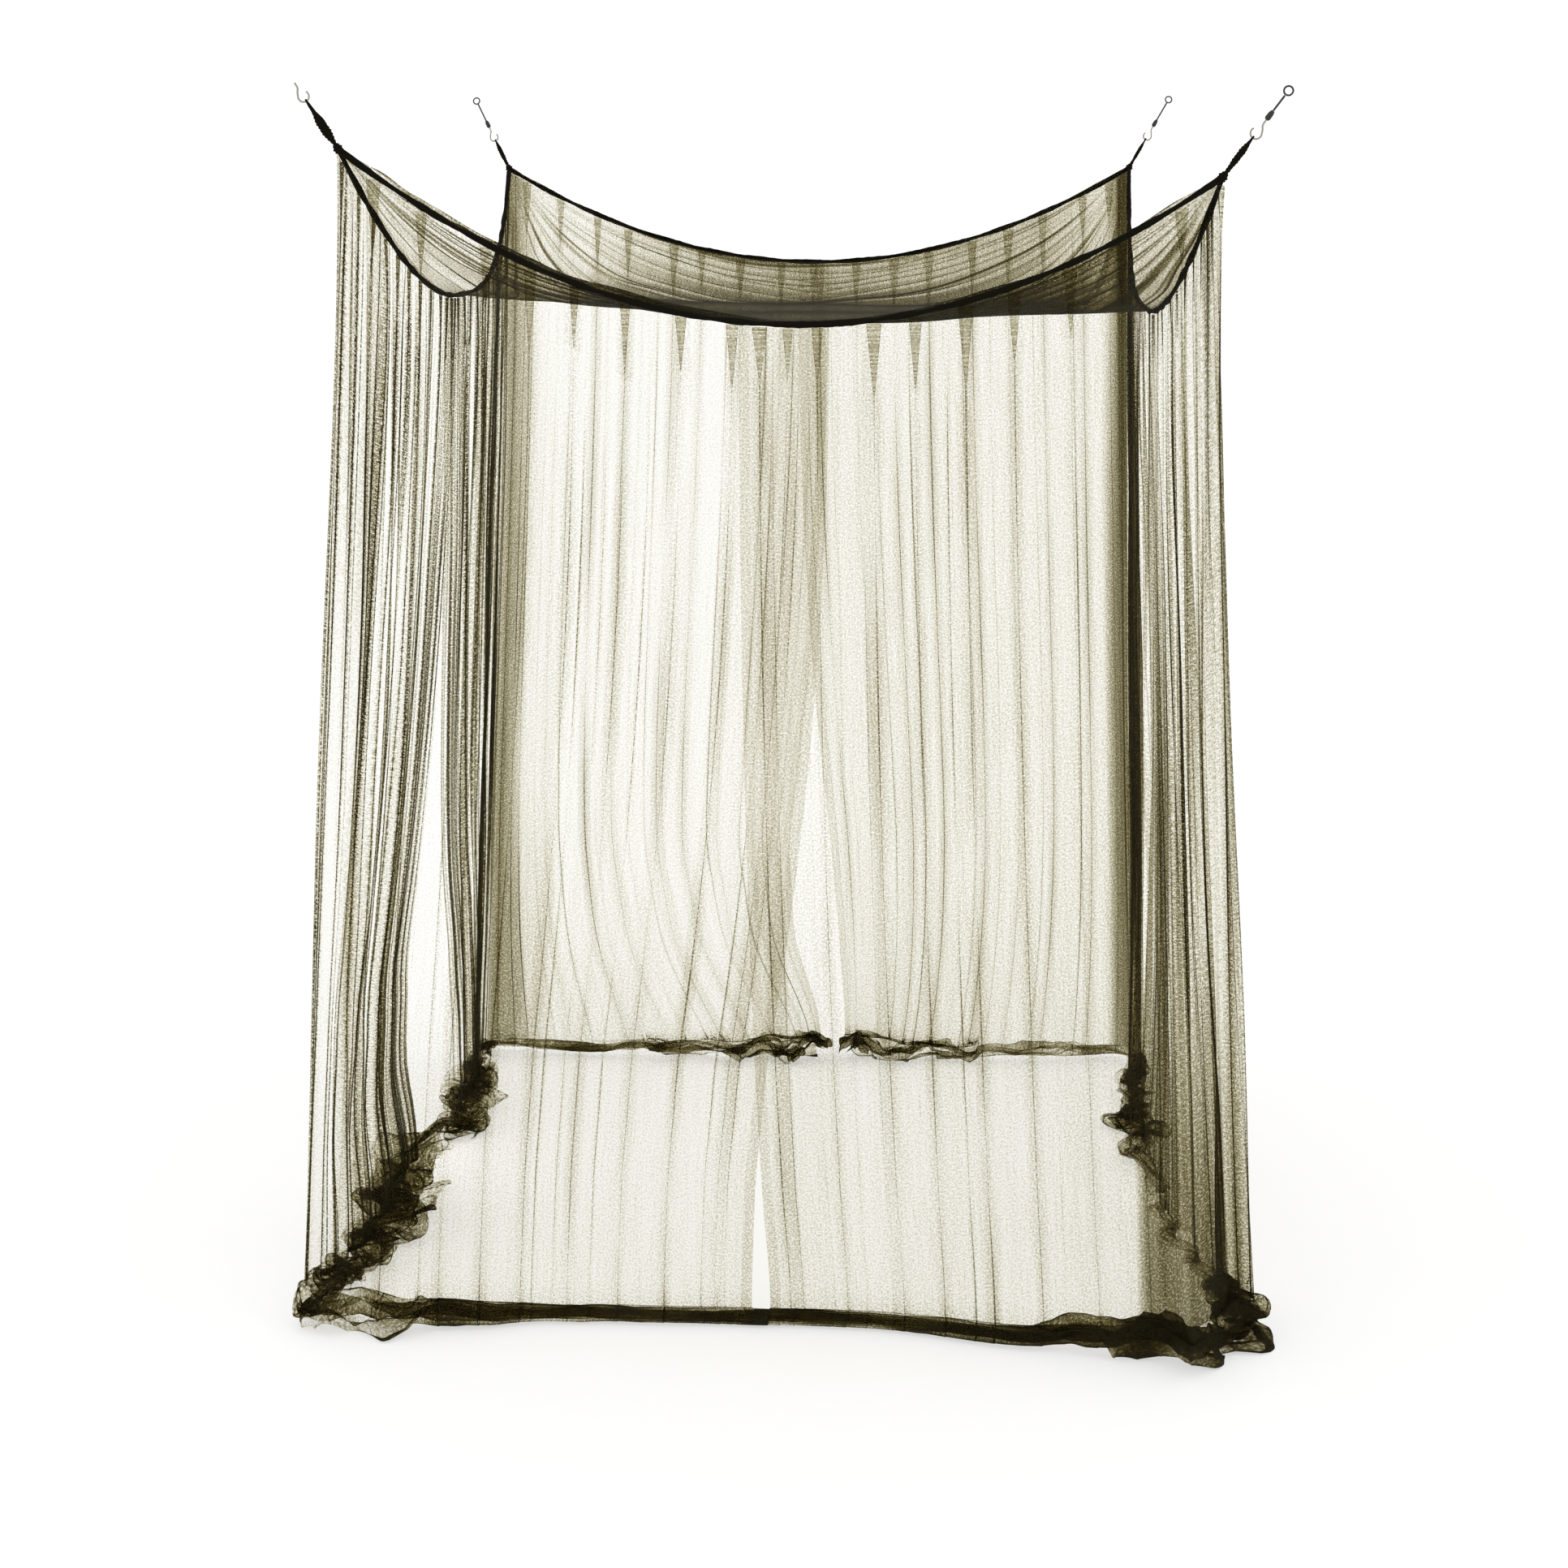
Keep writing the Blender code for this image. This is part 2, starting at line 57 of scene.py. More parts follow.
# ---- shape of the net, as packed
HALF_WIDTH = 0.83
HALF_DEPTH = 1.0
WIDTH = 2.0 * HALF_WIDTH
DEPTH = 2.0 * HALF_DEPTH
CEILING_MIDDLE = np.array([-0.017, 0.072, 0.0])
# corner: (x side, y side, height, floor x, floor y, lean of the tie in x, and in y)
CORNERS = {
    "front_left": (-1, -1, 2.3, -0.938, -1.02, -0.63, -0.15),
    "front_right": (1, -1, 2.241, 0.925, -1.068, 0.74, -0.15),
    "back_right": (1, 1, 2.416, 0.905, 0.965, 0.58, 0.15),
    "back_left": (-1, 1, 2.42, -0.925, 0.945, -0.5, 0.15),
}
CORNER_NAMES = tuple(CORNERS)
# edge: (name, sag, inward bow at the top, inward bow at the floor, steepness of the curve in
# its first half, and in its second), from each corner to the next
EDGES = (
    ("front", 0.3, 0.0, 0.065, 2.0, 2.0),
    ("right", 0.31, 0.04, 0.06, 2.0, 3.0),
    ("back", 0.248, 0.0, 0.065, 2.0, 2.0),
    ("left", 0.305, 0.04, 0.05, 3.0, 2.0),
)
EDGE_LENGTHS = np.array([WIDTH, DEPTH, WIDTH, DEPTH])
CLOTH_DROP = 2.47
CEILING_LIFT = 0.26
BINDING_RADIUS = 0.0055
CURTAIN_GAP = 0.0012
STEEPEST_SLOPE = 1.5
# Step in place over which a direction is measured
PLACE_STEP = 0.004
# Places go round the net from 0 at the front left corner to 4, one for each side, and height
# shares go down a wall, from 0 at its binding to 1 at its foot
Curtain = namedtuple("Curtain", "start corner end lap start_pull end_pull start_power end_power")
# corner: (free edge at the start, its place at the top, the knee and the floor; corner; free
# edge at the end; 1 if its laps lie outside, -1 inside; pull of the folds towards the start,
# and towards the end; how late each free edge swings out between the top and the knee)
CURTAINS = {
    "front_right": Curtain((0.457, 0.48, 0.495), 1.0, (1.48, 1.4, 1.395), -1, 0.0, 0.0, 2, 2),
    "back_right": Curtain((1.42, 1.418, 1.432), 2.0, (2.53, 2.464, 2.449), 1, 0.0, 0.5, 2, 2),
    "back_left": Curtain((2.48, 2.545, 2.485), 3.0, (3.585, 3.45, 3.415), -1, 0.8, 0.0, 2, 6),
    "front_left": Curtain((3.485, 3.7, 3.605), 4.0, (4.56, 4.48, 4.475), 1, 0.0, 0.0, 2.6, 2),
}
# The height share where the free edges turn, and the samples that smooth the turn
KNEE = 0.8
KNEE_STEPS = (-0.12, -0.08, -0.04, 0.0, 0.04, 0.08, 0.12)
# Folds are pulled along a wall by this power of the height share
SWEEP_POWER = 5
FOLDS = 9
FOLD_DEPTH_TOP = 0.003
FOLD_DEPTH = 0.022
FOLD_DRIFT = 0.16
FOLD_UNEVEN = 0.35
LAP_WIDTH = 0.18
LAP_FULL = 0.6
LAP_FOLD_SHARE = 0.25
LAP_OFFSET_TOP = 0.0021
LAP_OFFSET = 0.014
PILE_LAYERS = 5
PILE_LAYER_STEP = 0.01
PILE_LEAST_WIDTH = 0.014
FLOOR_CORNER_REACH = 0.12
# (place round the net, how far the pile lies outwards, height as a share of a plain pile)
HEAPS = (
    (0.0, 0.0, 1.9), (0.12, 0.03, 1.5), (0.28, 0.0, 0.9), (0.6, 0.0, 0.9), (0.76, 0.05, 1.1),
    (0.92, 0.08, 1.9), (1.0, 0.025, 2.2), (1.12, 0.0, 1.6), (1.36, -0.03, 1.0),
    (1.62, -0.05, 1.5), (1.86, -0.03, 1.1), (2.0, 0.0, 0.9), (2.3, 0.0, 1.0), (2.46, 0.015, 1.6),
    (2.72, 0.0, 1.1), (3.0, 0.0, 0.9), (3.3, -0.03, 1.4), (3.48, -0.015, 1.0),
    (3.66, -0.036, 2.3), (3.9, -0.018, 1.2), (4.0, 0.0, 1.9),
)

# ---- finer shape of the cloth
COLUMN_STEP = 0.005
EDGE_SAMPLES = 2000
TOP_ROWS = 11
TOP_ROWS_SHARE = 0.075
WALL_ROWS = 34
PILE_ROWS = 60
FLOOR_CLEARANCE = 0.0012
# Each curtain's seed is this one times its number
CURTAIN_SEED = 200

# Sewn pleats under the binding, each a flat tapering fold of three layers, and the creases
# that run down from them and between them
PLEAT_STEP = 0.096
PLEAT_SHIFT = 0.16
PLEAT_HALF_WIDTH = 0.0125
PLEAT_CLEAR = 1.35
PLEAT_LENGTH = 0.135
PLEAT_LIFT = 0.0011
PLEAT_EDGE = 0.0014
CREASE_STEP = 0.052
CREASE_SHIFT = 0.4
CREASE_HALF_WIDTH = 0.0017
CREASE_LAYERS = 3.4
PLEAT_LAYERS = 2.3
CREASE_START = 0.3

# Fine folds: (wave length, depth on the front and back walls, depth on the side walls)
FINE_FOLDS = (
    (0.12, 0.0035, 0.005),
    (0.061, 0.0018, 0.003),
    (0.031, 0.0007, 0.0015),
    (0.017, 0.0002, 0.0006),
)
FINE_FOLD_START = 0.16
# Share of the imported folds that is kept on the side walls, where finer folds take over
SIDE_FOLD_SHARE = 0.45
# Stripes where the cloth is bunched closer: (width, strength)
STRIPES = ((0.2, 0.7), (0.075, 1.0), (0.032, 1.1), (0.014, 1.2))
STRIPES_IN_FRONT = 0.09
# The two back corners are gathered evenly, without stripes, this far to each side
EVEN_CORNERS = (2.0, 3.0)
EVEN_REACH = 0.05
EVENED_SHARE = 0.75

# (place round the net, cloth gathered there at the top, at the wall's middle, at its foot, and
# in the pile)
GATHERS = (
    (0.0, 0.5, 0.5, 0.5, 2.2), (0.05, 0.45, 0.5, 0.8, 3.0), (0.12, 0.45, 0.5, 0.9, 5.0),
    (0.22, 0.45, 0.5, 0.9, 5.0), (0.44, 0.5, 0.55, 1.0, 5.2), (0.46, 0.9, 1.0, 1.3, 5.2),
    (0.55, 0.9, 1.0, 1.3, 5.2), (0.57, 0.8, 0.85, 1.1, 5.2), (0.66, 0.8, 0.85, 1.1, 5.2),
    (0.78, 0.8, 0.85, 1.1, 9.0), (0.87, 0.8, 0.9, 1.2, 11.0), (0.882, 0.8, 0.9, 1.5, 12.0),
    (0.89, 0.8, 1.0, 15.0, 13.0), (0.92, 0.8, 0.9, 13.0, 13.0), (0.97, 0.6, 0.8, 9.0, 13.0),
    (1.03, 0.7, 2.6, 3.0, 12.0), (1.09, 0.6, 2.4, 1.8, 8.0), (1.118, 0.45, 2.0, 1.2, 4.0),
    (1.128, 0.15, 0.4, 0.4, 2.5), (1.142, 0.15, 0.25, 0.3, 2.0), (1.15, 0.4, 1.3, 1.3, 0.9),
    (1.205, 0.38, 2.6, 1.5, 0.8), (1.26, 0.36, 1.6, 1.5, 0.7), (1.35, 0.34, 1.7, 1.5, 0.5),
    (1.48, 0.34, 1.7, 1.4, 0.5), (1.54, 0.6, 0.7, 0.9, 1.6), (1.57, 0.45, 0.15, 0.6, 1.8),
    (1.66, 0.45, 0.15, 0.6, 2.4), (1.72, 0.9, 1.0, 0.9, 2.0), (1.78, 2.0, 1.6, 0.9, 1.8),
    (1.84, 4.0, 2.0, 0.7, 1.6), (1.92, 5.5, 2.2, 0.7, 2.0), (1.99, 6.0, 3.0, 0.8, 1.8),
    (2.0, 24.0, 15.0, 6.0, 1.8), (2.008, 30.0, 18.0, 13.0, 1.8), (2.017, 28.0, 16.0, 14.0, 1.8),
    (2.023, 4.0, 15.0, 14.0, 1.8), (2.034, 0.9, 13.0, 13.0, 1.8), (2.042, 0.9, 4.5, 9.0, 1.8),
    (2.048, 0.9, 1.0, 4.0, 2.0), (2.058, 0.9, 0.95, 1.1, 2.0), (2.38, 0.9, 0.95, 1.1, 2.6),
    (2.44, 0.9, 0.95, 1.1, 5.5), (2.53, 0.9, 0.9, 0.9, 5.5), (2.58, 0.4, 0.45, 0.7, 3.2),
    (2.88, 0.34, 0.45, 1.0, 2.4), (2.93, 0.4, 0.8, 3.0, 2.4), (2.945, 0.5, 1.2, 5.0, 2.4),
    (2.955, 0.8, 2.4, 9.0, 2.4), (2.968, 1.2, 4.2, 9.5, 2.4), (2.978, 3.6, 7.2, 7.5, 2.4),
    (2.986, 12.5, 13.0, 9.5, 2.4), (3.0, 9.5, 8.0, 5.0, 2.2), (3.01, 1.1, 1.2, 1.3, 2.2),
    (3.1, 1.2, 1.3, 1.4, 2.2), (3.16, 1.5, 1.6, 1.3, 2.0), (3.2, 1.0, 0.6, 1.3, 1.8),
    (3.26, 0.8, 0.5, 1.3, 1.8), (3.32, 0.75, 0.5, 1.3, 2.2), (3.345, 0.7, 0.45, 0.8, 2.6),
    (3.38, 0.65, 0.25, 0.3, 2.6), (3.43, 0.65, 0.7, 0.7, 2.4), (3.52, 0.45, 0.8, 0.9, 1.6),
    (3.58, 0.32, 0.6, 1.3, 0.7), (3.63, 0.27, 0.5, 1.7, 0.5), (3.665, 0.26, 0.44, 1.8, 1.6),
    (3.69, 0.26, 0.42, 1.8, 4.6), (3.75, 0.26, 0.42, 1.8, 5.4), (3.8, 0.26, 0.48, 1.9, 3.0),
    (3.89, 0.27, 0.6, 1.9, 3.2), (3.918, 0.3, 0.4, 1.0, 4.0), (3.928, 0.12, 0.1, 0.2, 4.0),
    (3.942, 0.12, 0.1, 0.2, 3.4), (3.955, 0.45, 0.5, 0.9, 2.6), (4.0, 0.5, 0.5, 0.5, 2.2),
)
GATHER_MIDDLE = 0.6
GATHER_POWER = 1.5
# (place round the net, share of the pile that is rolled up, depth of its crumples, its size as
# a share of a plain pile)
PILE_LOOKS = (
    (0.0, 0.0, 0.8, 0.8), (0.08, 0.0, 1.0, 1.2), (0.15, 1.0, 0.14, 1.0), (0.2, 1.0, 0.07, 1.0),
    (0.68, 1.0, 0.07, 1.0), (0.75, 0.9, 0.15, 1.1), (0.83, 0.8, 0.35, 1.3), (0.9, 0.1, 0.9, 1.2),
    (1.0, 0.0, 1.0, 1.0), (1.1, 0.0, 0.7, 0.8), (1.16, 0.3, 0.3, 0.35), (1.5, 0.3, 0.3, 0.35),
    (1.6, 0.0, 0.7, 0.75), (1.68, 0.0, 0.8, 0.9), (1.77, 0.0, 0.5, 0.6), (1.88, 0.0, 0.7, 0.9),
    (1.95, 0.5, 0.4, 0.9), (2.1, 0.8, 0.3, 1.0), (2.4, 0.2, 0.8, 1.0), (2.6, 0.2, 0.8, 1.0),
    (2.9, 0.8, 0.3, 1.0), (3.0, 0.4, 0.5, 0.8), (3.1, 0.0, 0.7, 0.7), (3.18, 0.0, 0.6, 0.8),
    (3.33, 0.0, 1.0, 1.2), (3.43, 0.2, 0.6, 0.8), (3.6, 0.0, 0.8, 1.0), (3.67, 0.0, 1.2, 1.45),
    (3.74, 0.0, 0.9, 1.2), (3.79, 0.0, 1.0, 1.2), (3.86, 0.0, 0.5, 0.7), (3.92, 0.0, 0.9, 1.1),
    (3.97, 0.0, 0.5, 0.6), (4.0, 0.0, 0.8, 0.8),
)
# Crumples in the piles: (size across, depth)
CRUMPLES = ((0.14, 0.05), (0.065, 0.02), (0.03, 0.008))
# How much the folds of a pile shift along it, and how far their turns puff out
PILE_SHIFT = 1.9
PILE_PUFF = 0.011
PILE_LAYER_NOISE = 1.3
PILE_CORE = 0.75
ROLL_TURNS = 4.0
ROLL_SHRINK = 0.8
# (place round the net, how far the wall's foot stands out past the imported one)
FOOT_SHIFTS = (
    (0.0, 0.018), (0.12, 0.0), (0.88, 0.0), (1.0, -0.02), (1.15, -0.01), (1.4, 0.0), (3.8, 0.0),
    (4.0, 0.018),
)
HEAP_SHIFT_POWER = 3.0
# How far a pile reaches past its curtain's two free edges, along the floor line: the two
# front piles meet, and the left one spreads towards the back
PILE_REACH = {"front_right": (-0.034, 0.0), "front_left": (-0.11, 0.034)}
PILE_REACH_FROM = 0.22
HEM_ROWS = 2
HEM_LAYERS = 2.6
EDGE_STRIP = 0.02
EDGE_LAYERS = 2.2

# ---- ceiling
CEILING_COLUMNS = 300
CEILING_ROWS = 290
CEILING_HEM = 0.016
CEILING_HEM_LAYERS = 2.0
CEILING_WAVES = 0.004
# Corners of the ceiling: (1 at the right, 1 at the back)
CEILING_CORNERS = ((0, 0), (1, 0), (1, 1), (0, 1))
# Seeds of the ceiling's and the bindings' draws and noise
PULL_SEED = 650
WANDER_SEED = 500
WAVES_SEED = 600
TWIST_SEED = 700
ROUGH_SEED = 720
# (share of the width from the left, layers of cloth)
CEILING_LAYERS = (
    (0.0, 0.75), (0.14, 0.9), (0.22, 2.4), (0.38, 4.0), (0.65, 3.8), (0.85, 3.9), (0.92, 2.0),
    (1.0, 1.5),
)
# Pull folds that fan out from each corner: angles from the front or back edge, in degrees
PULL_ANGLES = (2.4, 5.2, 8.6, 12.5, 17.5, 24.0, 33.0, 45.0, 58.0, 70.0, 79.0, 85.0, 88.0)
PULL_WANDER = 2.5
PULL_DEPTH = 0.006
PULL_WIDTH = 0.008
PULL_REACH = 1.05
PULL_LAYERS = 0.7
PULL_LINE_WIDTH = 0.0034
# Thin creases that fan out from each corner of the ceiling: how many to a radian, the slope of
# the noise that makes them, their half width, reach and layers of cloth, how far from the corner
# they start, and how much they wander
CREASES_PER_RADIAN = 10.0
CREASE_SLOPE = 1.2
CREASE_LINE_WIDTH = 0.0019
CREASE_REACH = 1.3
CREASE_LINE_LAYERS = 9.0
CREASE_CLEAR = 0.22
CREASE_WANDER = 0.1
# Folds along the front edge: (distance behind it, height, first and last share of the width)
EDGE_FOLDS = (
    (0.03, 0.013, 0.02, 0.52),
    (0.058, 0.016, 0.04, 0.6),
    (0.04, 0.01, 0.55, 0.97),
)
EDGE_FOLD_WIDTH = 0.01

# ---- bindings, ties and cords
BINDING_RINGS = 300
BINDING_SIDES = 14
# Length of one twist of the tape, and how far it is from round and from smooth
BINDING_TWIST = 0.31
BINDING_FLATNESS = 0.22
BINDING_ROUGHNESS = 0.1
TIE_RINGS = 64
TIE_SIDES = 16
TURN_RINGS = 10
TIE_LENGTHS = {"front_left": 0.108, "front_right": 0.092, "back_right": 0.09, "back_left": 0.088}
KNOT_RADIUS = 0.0092
RIBBON_WIDTH = 0.01
RIBBON_THICKNESS = 0.0022
GATHERED_HALF_WIDTH = 0.0018
WIRE_RADIUS = 0.0019
HOOK_GAP = 0.0005
# From the middle of the hook's wire to the ribbon's middle
HOOK_SPREAD = WIRE_RADIUS + HOOK_GAP + 0.5 * RIBBON_THICKNESS
HOOK_LENGTH = 0.04
PIECE_GAP = 0.0004
FERRULE_LENGTH = 0.02
CORD_RADIUS = 0.002
CORDS = {"front_right": 0.034, "back_right": 0.052, "back_left": 0.05}
# How much wider each ribbon is than the plain one
RIBBON_SHARES = {"front_left": 1.7, "front_right": 1.25, "back_right": 0.9, "back_left": 1.1}

# ---- finishes
YARN_COLOUR = (0.014, 0.0115, 0.0045)
# Light that comes through the net is the open share of the mesh; green and blue lose more
GREEN_LOSS = 0.085
BLUE_LOSS = 0.53
LAYER_COVER = 0.11
GRAZING_LIMIT = 0.03
# Unevenness fades with this power of the number of layers
LAYERS_EVEN_OUT = 0.45
MESH_PITCH = 0.0017
# Noises along the cloth's two directions: a fine grain, upright streaks, and the flecks of
# crowded folds. Grain and flecks share a gain and an offset
GRAIN_SCALE = 270.0
STREAK_SCALE = (240.0, 7.0, 1.0)
FLECK_SCALE = (62.0, 300.0, 1.0)
SPECKLE_GAIN = 7.5
SPECKLE_OFFSET = -2.75
TAPE_COLOUR = (0.0032, 0.0026, 0.0013)
# How much paler the tape's palest fibres are painted: a painted sheen on its fibres
TAPE_PAINTED_SHEEN = 2.6
TAPE_WIDTH = 0.018
CORD_COLOUR = (0.012, 0.012, 0.01)
WIRE_COLOUR = (0.33, 0.31, 0.27)
WORLD_LIGHT = 1.08
FLOOR_GLOW = 0.54
FLOOR_COLOUR = (0.5, 0.5, 0.497)
FLOOR_REACH = 60.0
FIELD_WAVES = 7


def mix(a, b, t):
    """Return the value that lies t of the way from a to b."""
    return a + (b - a) * t


def ease(t):
    """Return a smooth step from 0 to 1."""
    t = np.clip(t, 0.0, 1.0)
    return t * t * (3.0 - 2.0 * t)


def unit(vectors):
    """Return vectors of length 1, along the last axis."""
    return vectors / np.linalg.norm(vectors, axis=-1, keepdims=True)


def table_at(place, rows):
    """Return the columns of a table by place, eased between its rows."""
    places, *columns = np.array(rows).T
    place = np.mod(place, 4.0)
    index = np.clip(np.searchsorted(places, place, side="right") - 1, 0, len(rows) - 2)
    t = ease((place - places[index]) / (places[index + 1] - places[index]))
    return [mix(values[index], values[index + 1], t) for values in columns]


def field(x, y, seed):
    """Return smooth seeded noise from about -1 to 1, with features one unit across."""
    random = np.random.default_rng(seed)
    angles = random.uniform(0.0, 2.0 * np.pi, FIELD_WAVES)
    rates = random.uniform(2.2, 4.6, FIELD_WAVES)
    phases = random.uniform(0.0, 2.0 * np.pi, FIELD_WAVES)
    total = 0.0
    for angle, rate, phase in zip(angles, rates, phases):
        total = total + np.sin(rate * (x * np.cos(angle) + y * np.sin(angle)) + phase)
    return total / (1.7 * math.sqrt(FIELD_WAVES))


# ---- edges and floor line
TOPS = CEILING_MIDDLE + np.array([
    (side_x * HALF_WIDTH, side_y * HALF_DEPTH, height)
    for side_x, side_y, height, *_ in CORNERS.values()
])
FLOORS = CEILING_MIDDLE + np.array([(*row[3:5], 0.0) for row in CORNERS.values()])
SAGS, TOP_BOWS, FLOOR_BOWS, FIRST_POWERS, LAST_POWERS = np.array([edge[1:] for edge in EDGES]).T


def outward_of(start, end):
    """Return the level direction that points out of an edge."""
    along = unit((end - start) * np.array([1.0, 1.0, 0.0]))
    return np.stack([along[..., 1], -along[..., 0], np.zeros(along.shape[:-1])], axis=-1)


def sideways_of(outward):
    """Return the level directions along a wall, from its directions outwards."""
    return np.stack([-outward[..., 1], outward[..., 0], np.zeros(outward.shape[:-1])], axis=-1)


def split_place(place):
    """Return the number of the edge and the share along it of places round the net."""
    place = np.mod(place, 4.0)
    index = np.minimum(place.astype(int), 3)
    return index, place - index


def bowed(corners, bows, index, share):
    """Return points on level bows from these corners to the next."""
    start = corners[index]
    end = corners[(index + 1) % 4]
    bow = bows[index] * 4.0 * share * (1.0 - share)
    return mix(start, end, share[..., None]) - outward_of(start, end) * bow[..., None]


def top_points(place):
    """Return points of the ceiling's bound edge at these places."""
    index, share = split_place(place)
    power = np.where(share < 0.5, FIRST_POWERS[index], LAST_POWERS[index])
    point = bowed(TOPS, TOP_BOWS, index, share)
    point[..., 2] -= SAGS[index] * (1.0 - np.abs(2.0 * share - 1.0) ** power)
    return point


def floor_points(place):
    """Return points where the wall meets its pile, on a loop with rounded corners."""
    index, share = split_place(place)
    reach = FLOOR_CORNER_REACH / DEPTH
    at_start = share < reach
    before = np.where(at_start, (index - 1) % 4, index)
    after = np.where(at_start, index, (index + 1) % 4)
    turn = np.where(at_start, 0.5 + 0.5 * share / reach, 0.5 - 0.5 * (1.0 - share) / reach)
    turn = turn[..., None]
    first = bowed(FLOORS, FLOOR_BOWS, before, np.full(share.shape, 1.0 - reach))
    last = bowed(FLOORS, FLOOR_BOWS, after, np.full(share.shape, reach))
    middle = FLOORS[after]
    rounded = mix(mix(first, middle, turn), mix(middle, last, turn), turn)
    near_corner = at_start | (share > 1.0 - reach)
    return np.where(near_corner[..., None], rounded, bowed(FLOORS, FLOOR_BOWS, index, share))


def outward_at(place):
    """Return the level directions out of the floor line at these places."""
    return outward_of(floor_points(place - PLACE_STEP), floor_points(place + PLACE_STEP))


def binding_clearance(place):
    """Return how far below its binding's middle a curtain starts."""
    along = top_points(place + PLACE_STEP) - top_points(place - PLACE_STEP)
    slope = np.abs(along[..., 2]) / np.hypot(along[..., 0], along[..., 1])
    slope = np.minimum(slope, STEEPEST_SLOPE)
    return (BINDING_RADIUS + CURTAIN_GAP) * np.hypot(1.0, slope)


# ---- curtains
def edge_place(edge, height, power):
    """Return a curtain's free edge at these height shares, with its knee smoothed."""
    at_top, at_knee, at_floor = edge
    near_knee = np.maximum(1.0 - np.abs(height - KNEE) / (1.0 - KNEE), 0.0)
    total = 0.0
    for step in KNEE_STEPS:
        sample = height + step * near_knee
        above = mix(at_top, at_knee, (sample / KNEE) ** power)
        below = mix(at_knee, at_floor, ease((sample - KNEE) / (1.0 - KNEE)))
        total = total + np.where(sample < KNEE, above, below)
    return total / len(KNEE_STEPS)


def curtain_places(curtain, share, height):
    """Return the places round the net of a curtain's columns at its height shares."""
    start = edge_place(curtain.start, height, curtain.start_power)
    end = edge_place(curtain.end, height, curtain.end_power)
    corner_share = (curtain.corner - curtain.start[0]) / (curtain.end[0] - curtain.start[0])
    sweep = height**SWEEP_POWER
    t = np.clip(share / corner_share, 0.0, 1.0)
    t = t - curtain.start_pull * sweep * t * (1.0 - t)
    first = mix(start, curtain.corner, t)
    t = np.clip((share - corner_share) / (1.0 - corner_share), 0.0, 1.0)
    t = t + curtain.end_pull * sweep * t * (1.0 - t)
    last = mix(curtain.corner, end, t)
    return np.where(share < corner_share, first, last)


def lap_share(curtain, share):
    """Return 1 at a curtain's free edges and 0 past its laps."""
    width = LAP_WIDTH / (curtain.end[0] - curtain.start[0])
    near = np.minimum(share, 1.0 - share)
    return 1.0 - ease((near / width - LAP_FULL) / (1.0 - LAP_FULL))


def main_folds(curtain, share, height):
    """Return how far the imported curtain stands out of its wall's plane."""
    lap = lap_share(curtain, share)
    depth = mix(FOLD_DEPTH_TOP, FOLD_DEPTH, ease(height * 1.6))
    phase = share * FOLDS + FOLD_DRIFT * np.sin(4.0 * np.pi * share + curtain.corner)
    uneven = 1.0 + FOLD_UNEVEN * np.sin(3.4 * np.pi * share + 2.0 * curtain.corner)
    wave = depth * uneven * np.sin(2.0 * np.pi * phase)
    offset = mix(LAP_OFFSET_TOP, LAP_OFFSET, ease(height * 3.0))
    return wave * mix(1.0, LAP_FOLD_SHARE, lap) + curtain.lap * lap * offset


def side_share(place):
    """Return 1 on the left and right walls and 0 on the front and back ones."""
    wave = np.mod(place, 2.0) - 1.5
    return ease((0.58 - np.abs(wave)) / 0.16)


def fine_folds(curtain, along, place, height, seed):
    """Return the small folds between the pleats, deeper on the side walls."""
    side = side_share(place)
    grown = 1.0 - np.exp(-height * CLOTH_DROP / FINE_FOLD_START)
    offset = 0.0
    for number, (length, depth_front, depth_side) in enumerate(FINE_FOLDS):
        wander = 0.55 * field(along / (2.2 * length), height * 1.6, seed + number)
        uneven = field(along / (2.7 * length) + 9.0, height * 2.0, seed + 20 + number)
        strength = 1.0 + 0.6 * uneven
        wave = np.sin(2.0 * np.pi * (along / length + wander))
        offset = offset + mix(depth_front, depth_side, side) * strength * wave
    calm = 1.0 - 0.7 * lap_share(curtain, along / along.max())
    return offset * grown * calm


def stripes(along, place, height, seed):
    """Return how closely the cloth is bunched into upright stripes, about 1 on average."""
    total = 0.0
    for number, (width, strength) in enumerate(STRIPES):
        total = total + strength * field(along / width, height * 1.4, seed + number)
    strength = mix(STRIPES_IN_FRONT, 1.0, side_share(place))
    for corner in EVEN_CORNERS:
        near = np.exp(-(((place - corner) / EVEN_REACH) ** 2))
        strength = strength * (1.0 - EVENED_SHARE * near)
    return np.exp(strength * total)


def gathers_at(place, height):
    """Return how much cloth is gathered at places of the wall, at these height shares."""
    top, middle, foot, _ = table_at(place, GATHERS)
    upper = mix(top, middle, ease(height / GATHER_MIDDLE))
    lower = ease((height - GATHER_MIDDLE) / (1.0 - GATHER_MIDDLE)) ** GATHER_POWER
    return mix(upper, foot, lower)


